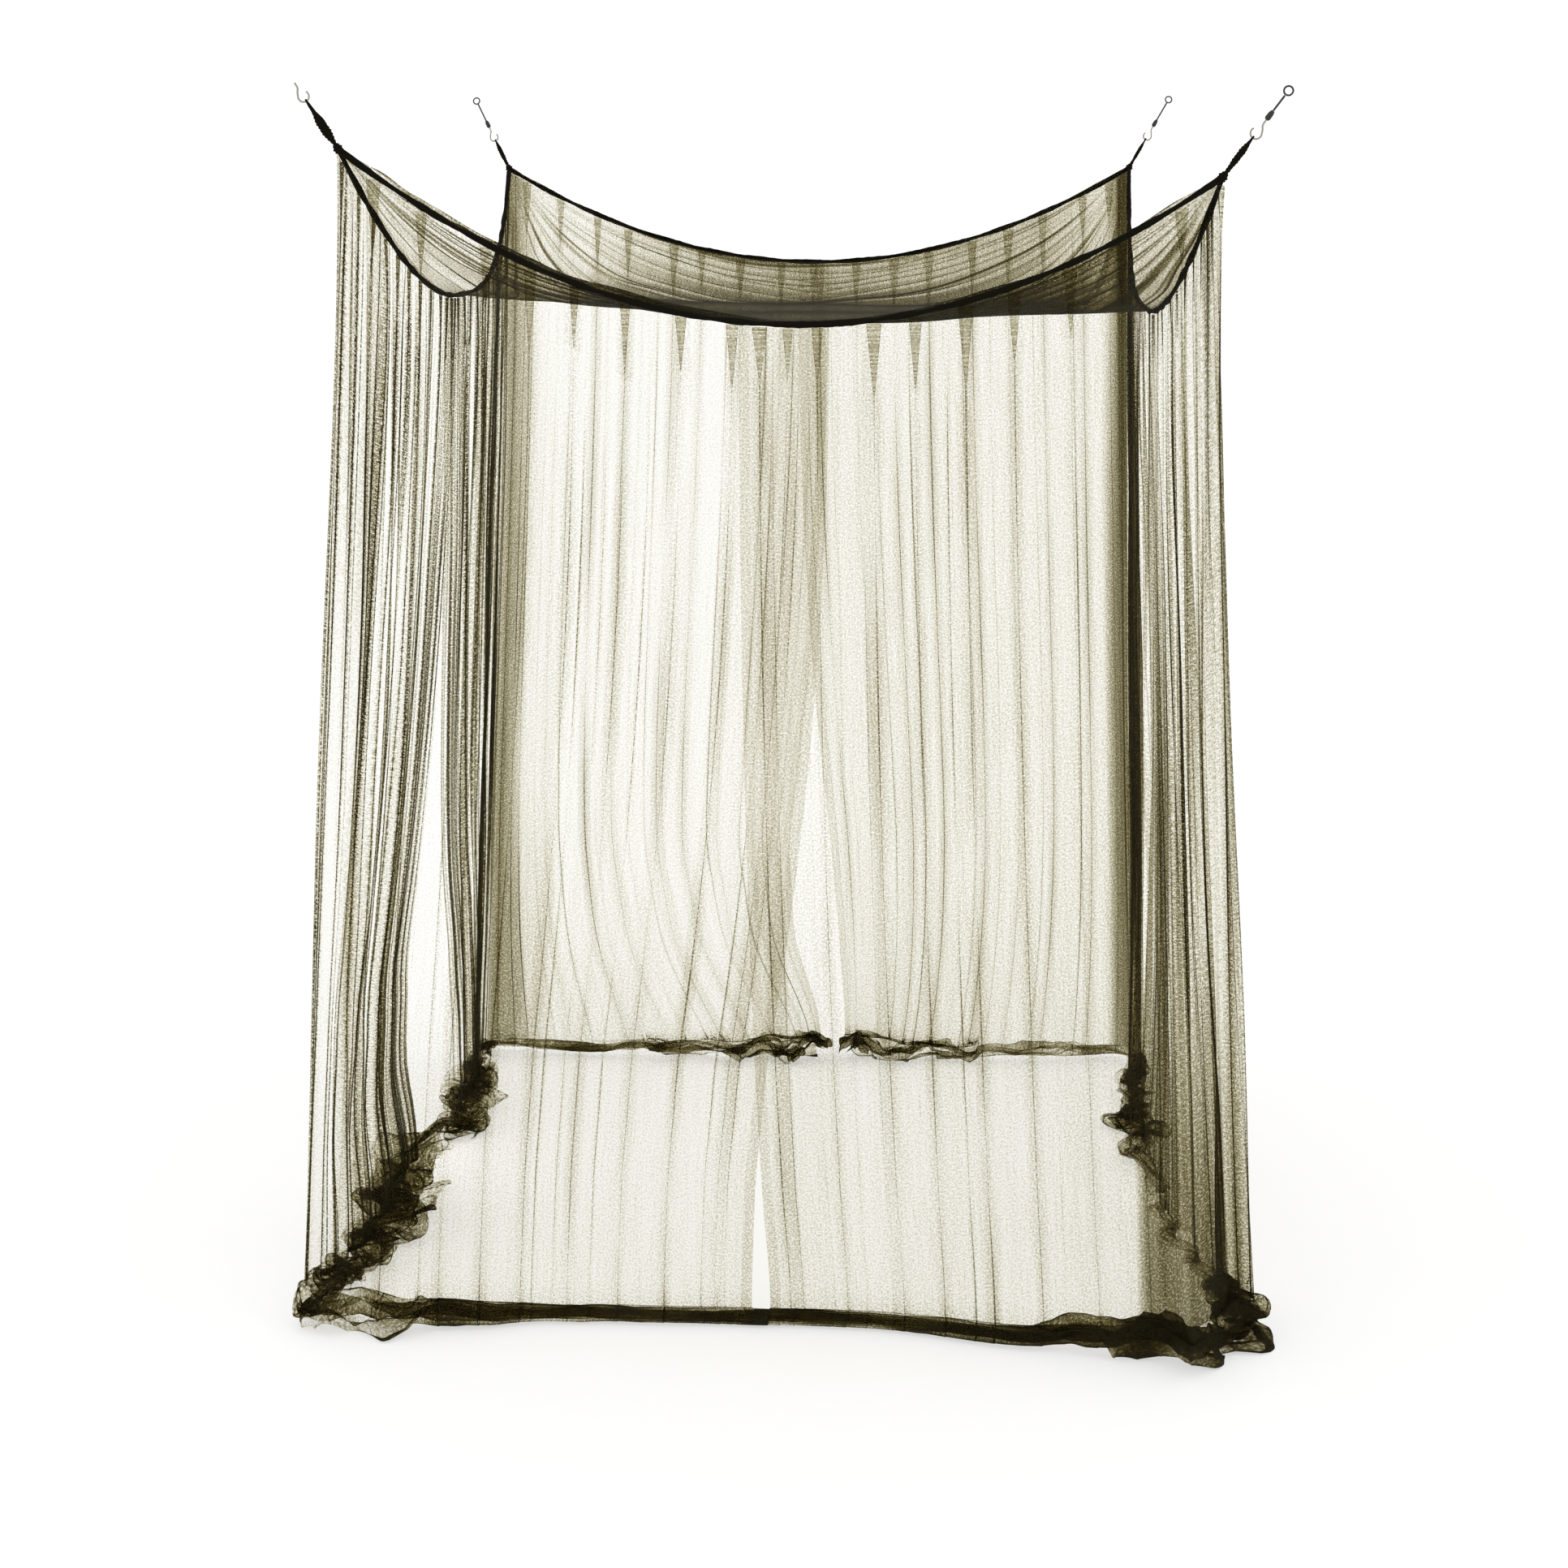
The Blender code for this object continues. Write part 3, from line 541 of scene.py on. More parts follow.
def curtain_columns(curtain, seed):
    """Return each column's place along the cloth, its share of it, and its part in a pleat.

    That part is its side of the fold, whether it is stepped in from the fold's edge, its lift,
    and the fold's half width, length and strength of crease. They are 0 between the pleats.
    """
    random = np.random.default_rng(seed)
    places = np.linspace(curtain.start[0], curtain.end[0], EDGE_SAMPLES)
    paces = EDGE_LENGTHS[split_place(places)[0]]
    along = np.concatenate([[0.0], np.cumsum(0.5 * (paces[1:] + paces[:-1]) * np.diff(places))])
    width = along[-1]
    pleats = np.arange(0.5 * PLEAT_STEP, width, PLEAT_STEP)
    pleats = pleats + random.uniform(-PLEAT_SHIFT, PLEAT_SHIFT, len(pleats)) * PLEAT_STEP
    folds = []
    for pleat in pleats:
        half_width = PLEAT_HALF_WIDTH * random.uniform(0.65, 1.15)
        length = PLEAT_LENGTH * random.uniform(0.7, 1.25)
        folds.append((pleat, half_width, length, random.uniform(0.25, 1.0)))
    keep_out = PLEAT_HALF_WIDTH * PLEAT_CLEAR
    taken = list(pleats)
    for crease in np.arange(0.5 * CREASE_STEP, width, CREASE_STEP):
        crease = crease + random.uniform(-CREASE_SHIFT, CREASE_SHIFT) * CREASE_STEP
        nearest = np.min(np.abs(np.array(taken) - crease))
        if nearest > 1.2 * keep_out and crease < width - keep_out:
            folds.append((crease, 0.0, 1.0, random.uniform(0.1, 1.0)))
            taken.append(crease)
    # The edges of a fold's three layers: (side, inset, lift)
    layers = ((1, 1, 1), (1, 0, 0.5), (1, 1, 0), (-1, 1, 0), (-1, 0, -0.5), (-1, 1, -1))
    columns = [(fold[0], *layer, *fold[1:]) for fold in folds for layer in layers]
    middles = np.array(taken)
    clear = np.array([keep_out if fold[1] > 0.0 else 0.6 * COLUMN_STEP for fold in folds])
    plain = list(np.linspace(0.0, width, round(width / COLUMN_STEP) + 1))
    plain += [EDGE_STRIP, width - EDGE_STRIP]
    for step in plain:
        if np.all(np.abs(middles - step) > clear) or step == 0.0 or step == width:
            columns.append((step, 0, 0, 0, 0.0, 1.0, 0.0))
    columns.sort(key=lambda column: column[0])
    columns = np.array(columns)
    share = (np.interp(columns[:, [0]], along, places) - places[0]) / (places[-1] - places[0])
    return columns[:, [0]], share, columns[:, 1:]


def pile(corner, along, place, foot, outward, rise, seed):
    """Return the points of the columns' piles on the floor: layers, a roll and crumples."""
    tangent = sideways_of(outward)
    height = foot[..., 2]
    t = np.linspace(0.0, 1.0, PILE_ROWS + 1)[1:][None, :]
    hung = top_points(place)[..., 2] - height
    spare = CLOTH_DROP - hung - (PILE_LAYERS - 1) * rise
    spare = np.maximum(spare, PILE_LAYERS * PILE_LEAST_WIDTH)
    half = 0.5 * spare / (PILE_LAYERS - 0.5)
    uneven = 1.0 + 0.55 * field(along / 0.11, t * 2.2, seed + 1)
    phase = np.pi * PILE_LAYERS * t
    phase = phase + PILE_SHIFT * ease(t * 3.0) * field(along / 0.15, t * 1.6, seed + 2)
    crown = mix(1.0, 1.0 + 0.5 * field(along / 0.1, t * 0.8, seed + 3), ease(t * 5.0))
    rolled, crumpled, size = table_at(place, PILE_LOOKS)
    crown = crown * mix(1.0, size, ease(t * 4.0))
    layers_out = half * size * uneven * np.sin(phase)
    layers_up = height * (1.0 - t) * crown + PILE_PUFF * size * uneven * np.sin(2.0 * phase)
    radius = 0.5 * (height - FLOOR_CLEARANCE)
    shrink = 1.0 - ROLL_SHRINK * t
    turn = np.pi * (0.5 + 2.0 * ROLL_TURNS * t)
    roll_out = radius * shrink * np.cos(turn)
    roll_up = FLOOR_CLEARANCE + radius + radius * shrink * np.sin(turn)
    out = mix(layers_out, roll_out, rolled)
    up = mix(layers_up, roll_up, rolled)
    depth = crumpled * ease(t * 4.0)
    spent = t * spare
    moves = [0.0, 0.0, 0.0]
    for number, (width, reach) in enumerate(CRUMPLES):
        for axis in range(3):
            noise = field(along / width, spent / width, seed + 10 + 3 * number + axis)
            moves[axis] = moves[axis] + reach * noise
    out = out + depth * moves[0]
    sideways = depth * moves[1]
    for edge, reach in zip((0.0, along.max()), PILE_REACH.get(corner, (0.0, 0.0))):
        near = 1.0 - np.minimum(np.abs(along - edge) / PILE_REACH_FROM, 1.0)
        sideways = sideways + reach * near**2 * ease(t * 6.0)
    up = up + 0.8 * depth * (np.abs(moves[2]) + 0.5 * moves[2])
    points = foot + outward * out[..., None] + tangent * sideways[..., None]
    points[..., 2] = np.maximum(up, FLOOR_CLEARANCE * (1.0 + 0.8 * np.sin(40.0 * t)))
    *_, layers = table_at(place, GATHERS)
    noise = field(along / 0.09, spent / 0.05, seed + 50)
    layers = layers * np.exp(PILE_LAYER_NOISE * noise)
    loose = mix(1.0, 1.0 - PILE_CORE * np.abs(np.sin(phase)), 1.0 - rolled)
    layers = layers * loose / mix(1.0, 1.0 - 0.5 * PILE_CORE, 1.0 - rolled)
    return points, spent, layers


def curtain_grid(corner, seed):
    """Return a curtain's points, cloth coordinates, layers of cloth and how bunched it is."""
    curtain = CURTAINS[corner]
    along, column, pleat = curtain_columns(curtain, seed)
    side, inset, lift, half_width, length, crease = (pleat[:, [k]] for k in range(6))
    top_heights = np.linspace(0.0, TOP_ROWS_SHARE, TOP_ROWS, endpoint=False)
    wall_heights = mix(TOP_ROWS_SHARE, 1.0, np.linspace(0.0, 1.0, WALL_ROWS) ** 0.9)
    height = np.concatenate([top_heights, wall_heights])[None, :]
    place = curtain_places(curtain, column, height)
    outward = outward_at(place)
    tangent = sideways_of(outward)
    heap_out, heap_height = table_at(place, HEAPS)
    rise = heap_height * PILE_LAYER_STEP
    top = top_points(place)
    top[..., 2] -= binding_clearance(place)
    (foot_shift,) = table_at(place, FOOT_SHIFTS)
    foot = floor_points(place) + outward * foot_shift[..., None]
    points = mix(top, foot, height[..., None] ** 1.2)
    heap_shift = heap_out * height**HEAP_SHIFT_POWER
    points = points + outward * heap_shift[..., None]
    points[..., 2] = mix(top[..., 2], (PILE_LAYERS - 1) * rise + 0.001, height)
    down = height * (top[..., 2] - points[:, -1:, 2])
    folds = main_folds(curtain, column, height)
    finer = side_share(place) * (1.0 - lap_share(curtain, column))
    offset = folds * mix(1.0, SIDE_FOLD_SHARE, finer)
    offset = offset + fine_folds(curtain, along, place, height, seed + 40)
    rolled, _, _ = table_at(place, PILE_LOOKS)
    drawn_in = rolled * ease((height - 0.7) / 0.3)
    offset = offset * (1.0 - 0.9 * drawn_in)
    width = half_width * np.clip(1.0 - down / length, 0.0, 1.0)
    wobble = 0.6 + 0.6 * field(along * 7.0, height * 6.0, seed + 70)
    grown = np.where(half_width > 0.0, 1.0, ease(down / CREASE_START))
    thread = crease * np.maximum(wobble, 0.05) * grown * (side != 0)
    width = width + CREASE_HALF_WIDTH * thread
    sideways = side * (width - inset * np.minimum(PLEAT_EDGE, 0.45 * width))
    points = points + outward * (offset + lift * PLEAT_LIFT)[..., None]
    points = points + tangent * sideways[..., None]
    foot, outward, rise = points[:, -1:], outward[:, -1:], rise[:, -1:]
    heap, spent, heap_layers = pile(corner, along, place[:, -1:], foot, outward, rise, seed + 100)
    grid = np.concatenate([points, heap], axis=1)
    flat_down = np.concatenate([down, down[:, -1:] + spent], axis=1)
    gathered = gathers_at(place, height)
    wall_layers = gathered * stripes(along, place, height, seed + 80)
    in_pleat = (down < length) & (half_width > 0.0)
    wall_layers = np.where(in_pleat, PLEAT_LAYERS, wall_layers + CREASE_LAYERS * thread)
    layers = np.concatenate([wall_layers, heap_layers], axis=1)
    layers[:, -HEM_ROWS:] *= HEM_LAYERS
    edge = np.minimum(along, along.max() - along) <= EDGE_STRIP + 1e-6
    layers[edge[:, 0]] *= EDGE_LAYERS
    return grid, along, flat_down, layers, side_share(place[:, :1])


# ---- meshes
def add_object(name, data):
    """Add an object with this mesh, curve or camera to the scene."""
    item = bpy.data.objects.new(name, data)
    bpy.context.scene.collection.objects.link(item)
    return item


def grid_object(name, material, grid, cloth_u, cloth_v, layers, bunched):
    """Add a smooth sheet over a grid of points, with cloth coordinates and layer counts.

    Bunched is 1 where fine upright folds crowd the cloth and 0 where it hangs flat.
    """
    columns, rows = grid.shape[:2]

    def flat(values):
        """Return one number for each point."""
        return np.broadcast_to(values, (columns, rows)).reshape(-1).astype(np.float32)

    numbers = np.arange(columns * rows).reshape(columns, rows)
    faces = np.stack(
        [numbers[:-1, :-1], numbers[1:, :-1], numbers[1:, 1:], numbers[:-1, 1:]], axis=-1
    ).reshape(-1, 4)
    mesh = bpy.data.meshes.new(name)
    mesh.vertices.add(columns * rows)
    mesh.vertices.foreach_set("co", grid.reshape(-1).astype(np.float32))
    mesh.loops.add(faces.size)
    mesh.loops.foreach_set("vertex_index", faces.reshape(-1).astype(np.int32))
    mesh.polygons.add(len(faces))
    mesh.polygons.foreach_set("loop_start", np.arange(0, faces.size, 4, dtype=np.int32))
    mesh.update(calc_edges=True)
    uv = mesh.uv_layers.new(name="cloth")
    places = np.stack([flat(cloth_u), flat(cloth_v)], axis=-1)[faces.reshape(-1)]
    uv.data.foreach_set("uv", places.reshape(-1))
    for label, values in (("layers", layers), ("bunched", bunched)):
        attribute = mesh.attributes.new(label, "FLOAT", "POINT")
        attribute.data.foreach_set("value", flat(values))
    mesh.materials.append(material)
    mesh.shade_smooth()
    return add_object(name, mesh)


def ring_object(name, rings, material):
    """Add a smooth tube with closed ends through rings of points."""
    count, sides = rings.shape[:2]
    numbers = np.arange(count * sides).reshape(count, sides)
    across = np.roll(numbers, -1, axis=1)
    faces = np.stack([numbers[:-1], across[:-1], across[1:], numbers[1:]], axis=-1)
    ends = [numbers[0][::-1].tolist(), numbers[-1].tolist()]
    mesh = bpy.data.meshes.new(name)
    mesh.from_pydata(rings.reshape(-1, 3).tolist(), [], faces.reshape(-1, 4).tolist() + ends)
    mesh.update()
    mesh.materials.append(material)
    mesh.shade_smooth()
    return add_object(name, mesh)


def make_curtains(material):
    """Add the four curtains, each from a cloth gathered on to its two bindings."""
    for number, corner in enumerate(CORNER_NAMES):
        seed = CURTAIN_SEED * (number + 1)
        item = grid_object("net_curtain_" + corner, material, *curtain_grid(corner, seed))
        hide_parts("curtain_" + corner)
        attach(item, "root")


def ceiling_points(u, v):
    """Return points of the sagging ceiling, u from left to right and v to the back."""
    front = top_points(0.0 + u)
    back = top_points(3.0 - u)
    left = top_points(4.0 - v)
    right = top_points(1.0 + v)
    u3 = u[..., None]
    v3 = v[..., None]
    sides = mix(front, back, v3) + mix(left, right, u3)
    near = mix(TOPS[0], TOPS[1], u3)
    far = mix(TOPS[3], TOPS[2], u3)
    point = sides - mix(near, far, v3)
    point[..., 2] += CEILING_LIFT * 16.0 * u * (1.0 - u) * v * (1.0 - v)
    return point


def make_ceiling(material):
    """Add the ceiling, with the folds that its corners and its front edge pull into it."""
    inset = BINDING_RADIUS * 0.6
    u = np.linspace(inset / WIDTH, 1.0 - inset / WIDTH, CEILING_COLUMNS + 1)
    v = np.linspace(inset / DEPTH, 1.0 - inset / DEPTH, CEILING_ROWS + 1)
    u, v = np.meshgrid(u, v, indexing="ij")
    points = ceiling_points(u, v)
    lift = np.zeros(u.shape)
    lines = np.zeros(u.shape)
    random = np.random.default_rng(PULL_SEED)
    for number, (right, back) in enumerate(CEILING_CORNERS):
        x = np.abs(u - right) * WIDTH
        y = np.abs(v - back) * DEPTH
        reach = np.hypot(x, y)
        angle = np.degrees(np.arctan2(y, x))
        for k, pull in enumerate(PULL_ANGLES):
            pull = pull * random.uniform(0.9, 1.1)
            wander = field(np.full(u.shape, 3.1 * k), reach * 2.0, WANDER_SEED + 20 * number)
            distance = reach * np.sin(np.radians(angle - pull - PULL_WANDER * wander))
            fade = ease(reach / 0.1) * ease((PULL_REACH - reach) / 0.5)
            lift += PULL_DEPTH * fade * np.exp(-((distance / PULL_WIDTH) ** 2))
            pulled = PULL_LAYERS * random.uniform(0.2, 1.5)
            lines += pulled * fade * np.exp(-((distance / PULL_LINE_WIDTH) ** 2))
    for distance, rise, first, last in EDGE_FOLDS:
        gap = v * DEPTH - distance
        fade = ease((u - first) / 0.08) * ease((last - u) / 0.2)
        lift += rise * fade * np.exp(-((gap / EDGE_FOLD_WIDTH) ** 2))
    edge = 4.0 * np.minimum(np.minimum(u, 1.0 - u), np.minimum(v, 1.0 - v))
    lift += CEILING_WAVES * ease(edge * 4.0) * field(u * 9.0, v * 9.0, WAVES_SEED)
    points[..., 2] += lift
    layers = np.interp(u, *np.array(CEILING_LAYERS).T) + lines
    layers[np.minimum(v, 1.0 - v) * DEPTH < CEILING_HEM] = CEILING_HEM_LAYERS
    layers[np.minimum(u, 1.0 - u) * WIDTH < CEILING_HEM] = CEILING_HEM_LAYERS
    item = grid_object("net_ceiling", material, points, u * WIDTH, v * DEPTH, layers, 0.0)
    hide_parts("ceiling_sheet")
    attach(item, "root")


def make_binding(index, material):
    """Add the bound edge along one side: a tape folded over the cloth and twisted by its pull."""
    places = index + np.linspace(0.004, 0.996, BINDING_RINGS)
    middle = top_points(places)
    along = unit(np.gradient(middle, axis=0))
    across = unit(np.cross(along, np.array([0.0, 0.0, 1.0])))
    up = np.cross(across, along)
    distance = np.concatenate([[0.0], np.cumsum(np.linalg.norm(np.diff(middle, axis=0), axis=1))])
    angle = np.linspace(0.0, 2.0 * np.pi, BINDING_SIDES, endpoint=False)[None, :]
    wander = 0.35 * field(distance * 5.0, 0.0, TWIST_SEED + index)
    twist = 2.0 * np.pi * (distance / BINDING_TWIST + wander)[:, None]
    flat = 1.0 + BINDING_FLATNESS * np.cos(2.0 * (angle - twist))
    bumps = field(distance[:, None] / 0.011, angle * 1.3, ROUGH_SEED + index)
    rough = 1.0 + BINDING_ROUGHNESS * bumps
    radius = BINDING_RADIUS * flat * rough
    rings = (
        middle[:, None, :]
        + across[:, None, :] * (radius * np.cos(angle))[..., None]
        + up[:, None, :] * (radius * np.sin(angle))[..., None]
    )
    name = EDGES[index][0]
    item = ring_object("tape_" + name, rings, material)
    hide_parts("binding_" + name)
    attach(item, "root")
    flat = (TAPE_WIDTH, round(float(distance[-1]), 2))


# ---- ties and cords
def tie_frame(corner):
    """Return a tie's start, its direction, its side direction and its flat direction."""
    along = unit(np.array([*CORNERS[corner][5:7], 1.0]))
    side = unit(np.cross(np.array([0.0, 1.0, 0.0]), along)) * CORNERS[corner][0]
    flat = np.cross(along, side)
    return TOPS[CORNER_NAMES.index(corner)], along, side, flat


def make_tie(corner, material):
    """Add a corner ribbon: a knot, a run up, a turn over the hook and a run back down."""
    start, along, side, flat = tie_frame(corner)
    spread = HOOK_SPREAD
    wide = 0.5 * RIBBON_WIDTH * RIBBON_SHARES[corner]
    thin = 0.5 * RIBBON_THICKNESS
    # (distance up the tie, offset to the front, half width, half thickness)
    rows = np.array((
        (-0.011, 0.0, 0.002, 0.002),
        (-0.008, 0.0, 0.006, 0.006),
        (-0.0035, 0.0, 0.009, 0.0088),
        (0.002, 0.0, KNOT_RADIUS, KNOT_RADIUS),
        (0.007, 0.0, 0.007, 0.0064),
        (0.011, 0.0, 0.004, 0.0036),
        (0.015, 0.1 * spread, 0.0046, 0.003),
        (0.024, 0.5 * spread, 0.85 * wide, 1.5 * thin),
        (0.036, 0.9 * spread, 1.15 * wide, 1.2 * thin),
        (0.05, spread, wide, thin),
        (0.06, spread, 1.05 * wide, thin),
        (0.07, spread, 0.8 * wide, thin),
        (0.078, spread, 0.5 * wide, thin),
        (TIE_LENGTHS[corner] - spread, spread, GATHERED_HALF_WIDTH, thin),
    ))
    numbers = np.arange(len(rows))
    fine = np.linspace(0, len(rows) - 1, TIE_RINGS)
    table = np.stack([np.interp(fine, numbers, column) for column in rows.T], axis=-1)
    sections = []
    for rise, offset, half_wide, half_thin in table:
        wobble = 1.0 + 0.12 * math.sin(rise * 900.0)
        turn = 0.5 * math.sin(rise * 55.0) * min(max((0.09 - rise) * 30.0, 0.0), 1.0)
        wide_axis = side * math.cos(turn) + flat * math.sin(turn)
        thin_axis = flat * math.cos(turn) - side * math.sin(turn)
        middle = start + along * rise + flat * offset
        sections.append((middle, wide_axis * half_wide * wobble, thin_axis * half_thin))
    for k in range(1, TURN_RINGS + 1):
        angle = math.pi * k / TURN_RINGS
        outward = flat * math.cos(angle) + along * math.sin(angle)
        middle = start + along * (TIE_LENGTHS[corner] - spread) + outward * spread
        sections.append((middle, side * GATHERED_HALF_WIDTH, outward * thin))
    for rise, share in ((0.08, 0.45), (0.074, 0.6), (0.064, 0.9), (0.055, 0.95), (0.044, 0.8)):
        middle = start + along * rise - flat * spread
        sections.append((middle, side * wide * share, -flat * thin))
    angle = np.linspace(0.0, 2.0 * np.pi, TIE_SIDES, endpoint=False)
    rings = np.array([
        middle + wide_axis * np.cos(angle)[:, None] + thin_axis * np.sin(angle)[:, None]
        for middle, wide_axis, thin_axis in sections
    ])
    item = ring_object("ribbon_" + corner, rings, material)
    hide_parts("tie_" + corner)
    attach(item, "root")


def make_cord(corner, material):
    """Add the taut cord between a ferrule and its end loop."""
    start, along, _, _ = tie_frame(corner)
    rise = TIE_LENGTHS[corner] - HOOK_SPREAD + HOOK_LENGTH + FERRULE_LENGTH + 2.0 * PIECE_GAP
    base = start + along * rise
    length = CORDS[corner]
    count = 2 + int(length / (5.0 * CORD_RADIUS))
    points = [base + along * length * k / (count - 1) for k in range(count)]
    curve = bpy.data.curves.new("braid_" + corner, "CURVE")
    curve.dimensions = "3D"
    curve.bevel_depth = CORD_RADIUS
    curve.bevel_resolution = 5
    curve.use_fill_caps = True
    spline = curve.splines.new("POLY")
    spline.points.add(len(points) - 1)
    for target, point in zip(spline.points, points):
        target.co = (*point, 1.0)
    spline.use_smooth = True
    curve.materials.append(material)
    item = add_object("braid_" + corner, curve)
    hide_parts("cord_" + corner)
    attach(item, "root")


# ---- finishes
class Value:
    """A number in a shader: arithmetic on it adds Math nodes."""

    def __init__(self, nodes, socket):
        """Wrap a node's output."""
        self.nodes = nodes
        self.socket = socket

    def maths(self, operation, *values):
        """Add a Math node on this value and others, and return its result."""
        return self.nodes.maths(operation, self, *values)

    def __rsub__(self, other):
        """Take this value from a number."""
        return self.nodes.maths("SUBTRACT", other, self)

    __add__ = partialmethod(maths, "ADD")
    __sub__ = partialmethod(maths, "SUBTRACT")
    __mul__ = partialmethod(maths, "MULTIPLY")
    __truediv__ = partialmethod(maths, "DIVIDE")
    __pow__ = partialmethod(maths, "POWER")
    __abs__ = partialmethod(maths, "ABSOLUTE")
    at_least = partialmethod(maths, "MAXIMUM")
    at_most = partialmethod(maths, "MINIMUM")


class Nodes:
    """A material's node tree, with short calls to add to it."""

    def __init__(self, name):
        """Make the material, with its Principled shader."""
        self.material = bpy.data.materials.new(name)
        self.material.use_nodes = True
        self.tree = self.material.node_tree
        self.shader = self.tree.nodes["Principled BSDF"]

    def add(self, kind, **settings):
        """Add a node and set its properties."""
        node = self.tree.nodes.new(kind)
        for name, value in settings.items():
            setattr(node, name, value)
        return node

    def value(self, kind, output, **settings):
        """Add a node and return one of its outputs as a value."""
        return Value(self, self.add(kind, **settings).outputs[output])

    def join(self, source, target):
        """Link a value or socket to another socket, or set the other to a constant."""
        source = getattr(source, "socket", source)
        if isinstance(source, bpy.types.NodeSocket):
            self.tree.links.new(source, target)
        else:
            target.default_value = source

    def constants(self, **values):
        """Set the shader's sockets, with an underscore for a space in a name."""
        for name, value in values.items():
            self.shader.inputs[name.replace("_", " ")].default_value = value

    def maths(self, operation, *values):
        """Add a Math node and return its result."""
        node = self.add("ShaderNodeMath", operation=operation)
        for value, target in zip(values, node.inputs):
            self.join(value, target)
        return Value(self, node.outputs[0])

    def noise(self, place, scale, detail=2.0, socket="Vector", dimensions="3D"):
        """Add a Noise texture and return its value."""
        node = self.add("ShaderNodeTexNoise", noise_dimensions=dimensions)
        self.join(scale, node.inputs["Scale"])
        self.join(detail, node.inputs["Detail"])
        self.join(place, node.inputs[socket])
        return Value(self, node.outputs["Fac"])

    def stretched(self, vector, scale):
        """Return a vector scaled differently along each axis."""
        node = self.add("ShaderNodeVectorMath", operation="MULTIPLY")
        self.join(vector, node.inputs[0])
        self.join(scale, node.inputs[1])
        return node.outputs[0]

    def bump(self, height, strength, distance):
        """Bump the shader's surface by a height."""
        node = self.add("ShaderNodeBump")
        self.join(strength, node.inputs["Strength"])
        self.join(distance, node.inputs["Distance"])
        self.join(height, node.inputs["Height"])
        self.join(node.outputs["Normal"], self.shader.inputs["Normal"])


def yarn_line(coordinate):
    """Return 0 to 1 across the mesh, 1 on a thread."""
    wave = (coordinate * (math.pi / MESH_PITCH)).maths("COSINE")
    return abs(wave) ** 5.0


def corner_creases(nodes, cloth, across, behind):
    """Return the layers of cloth in the ceiling's thin creases."""
    total = 0.0
    wander = nodes.noise(cloth, 2.5, 1.0) * CREASE_WANDER
    spread = CREASES_PER_RADIAN * CREASE_SLOPE * CREASE_LINE_WIDTH
    for number, (right, back) in enumerate(CEILING_CORNERS):
        x = abs(across - right * WIDTH)
        y = abs(behind - back * DEPTH)
        reach = (x * x + y * y).maths("SQRT")
        angle = y.maths("ARCTAN2", x) + wander
        turned = angle * CREASES_PER_RADIAN + 31.7 * number
        ridges = nodes.noise(turned, 1.0, 0.0, "W", "1D")
        strength = nodes.noise(turned * 0.7 + 5.3, 1.0, 0.0, "W", "1D")
        off = abs(ridges - 0.5) * reach / spread
        line = (1.0 - off).at_least(0.0)
        fade = (1.0 - reach / CREASE_REACH).at_least(0.0)
        start = (reach / CREASE_CLEAR).at_most(1.0) ** 2.0
        strong = (strength * 5.0 - 2.2).at_least(0.0)
        total = line * fade * start * strong + total
    return total * CREASE_LINE_LAYERS


def net_material(name, creased):
    """Return the sheer mesh: open between its dark threads, denser where it turns edge-on."""
    nodes = Nodes(name)
    cloth = nodes.add("ShaderNodeUVMap", uv_map="cloth").outputs["UV"]
    split = nodes.add("ShaderNodeSeparateXYZ")
    nodes.join(cloth, split.inputs[0])
    across = Value(nodes, split.outputs[0])
    down = Value(nodes, split.outputs[1])
    threads = yarn_line(across + down) + yarn_line(across - down)
    weave = threads * 0.75 + 0.49
    grain = nodes.noise(cloth, GRAIN_SCALE, 1.0) * SPECKLE_GAIN + SPECKLE_OFFSET
    streaks = nodes.noise(nodes.stretched(cloth, STREAK_SCALE), 1.0) * 1.8 + 0.1
    flecks = nodes.noise(nodes.stretched(cloth, FLECK_SCALE), 1.0) * SPECKLE_GAIN + SPECKLE_OFFSET
    bunched = nodes.value("ShaderNodeAttribute", "Fac", attribute_name="bunched")
    flecks = (flecks.at_least(0.12) - 1.0) * bunched + 1.0
    uneven = grain.at_least(0.1) * streaks.at_least(0.15) * flecks
    layers = nodes.value("ShaderNodeAttribute", "Fac", attribute_name="layers")
    if creased:
        layers = layers + corner_creases(nodes, cloth, across, down)
    uneven = uneven ** (layers.at_least(1.0) ** -LAYERS_EVEN_OUT)
    straight = (1.0 - nodes.value("ShaderNodeLayerWeight", "Facing")).at_least(GRAZING_LIMIT)
    amount = weave * uneven * layers / straight
    open_share = nodes.maths("POWER", 1.0 - LAYER_COVER, amount)
    tint = nodes.add("ShaderNodeCombineColor")
    nodes.join(1.0, tint.inputs["Red"])
    nodes.join(open_share**GREEN_LOSS, tint.inputs["Green"])
    nodes.join(open_share**BLUE_LOSS, tint.inputs["Blue"])
    clear = nodes.add("ShaderNodeBsdfTransparent")
    nodes.join(tint.outputs["Color"], clear.inputs["Color"])
    nodes.constants(Base_Color=(*YARN_COLOUR, 1.0), Roughness=0.85, Specular_IOR_Level=0.05)
    mixer = nodes.add("ShaderNodeMixShader")
    nodes.join(1.0 - open_share, mixer.inputs["Fac"])
    nodes.join(clear.outputs["BSDF"], mixer.inputs[1])
    nodes.join(nodes.shader.outputs["BSDF"], mixer.inputs[2])
    nodes.join(mixer.outputs["Shader"], nodes.tree.nodes["Material Output"].inputs["Surface"])
    return nodes.material


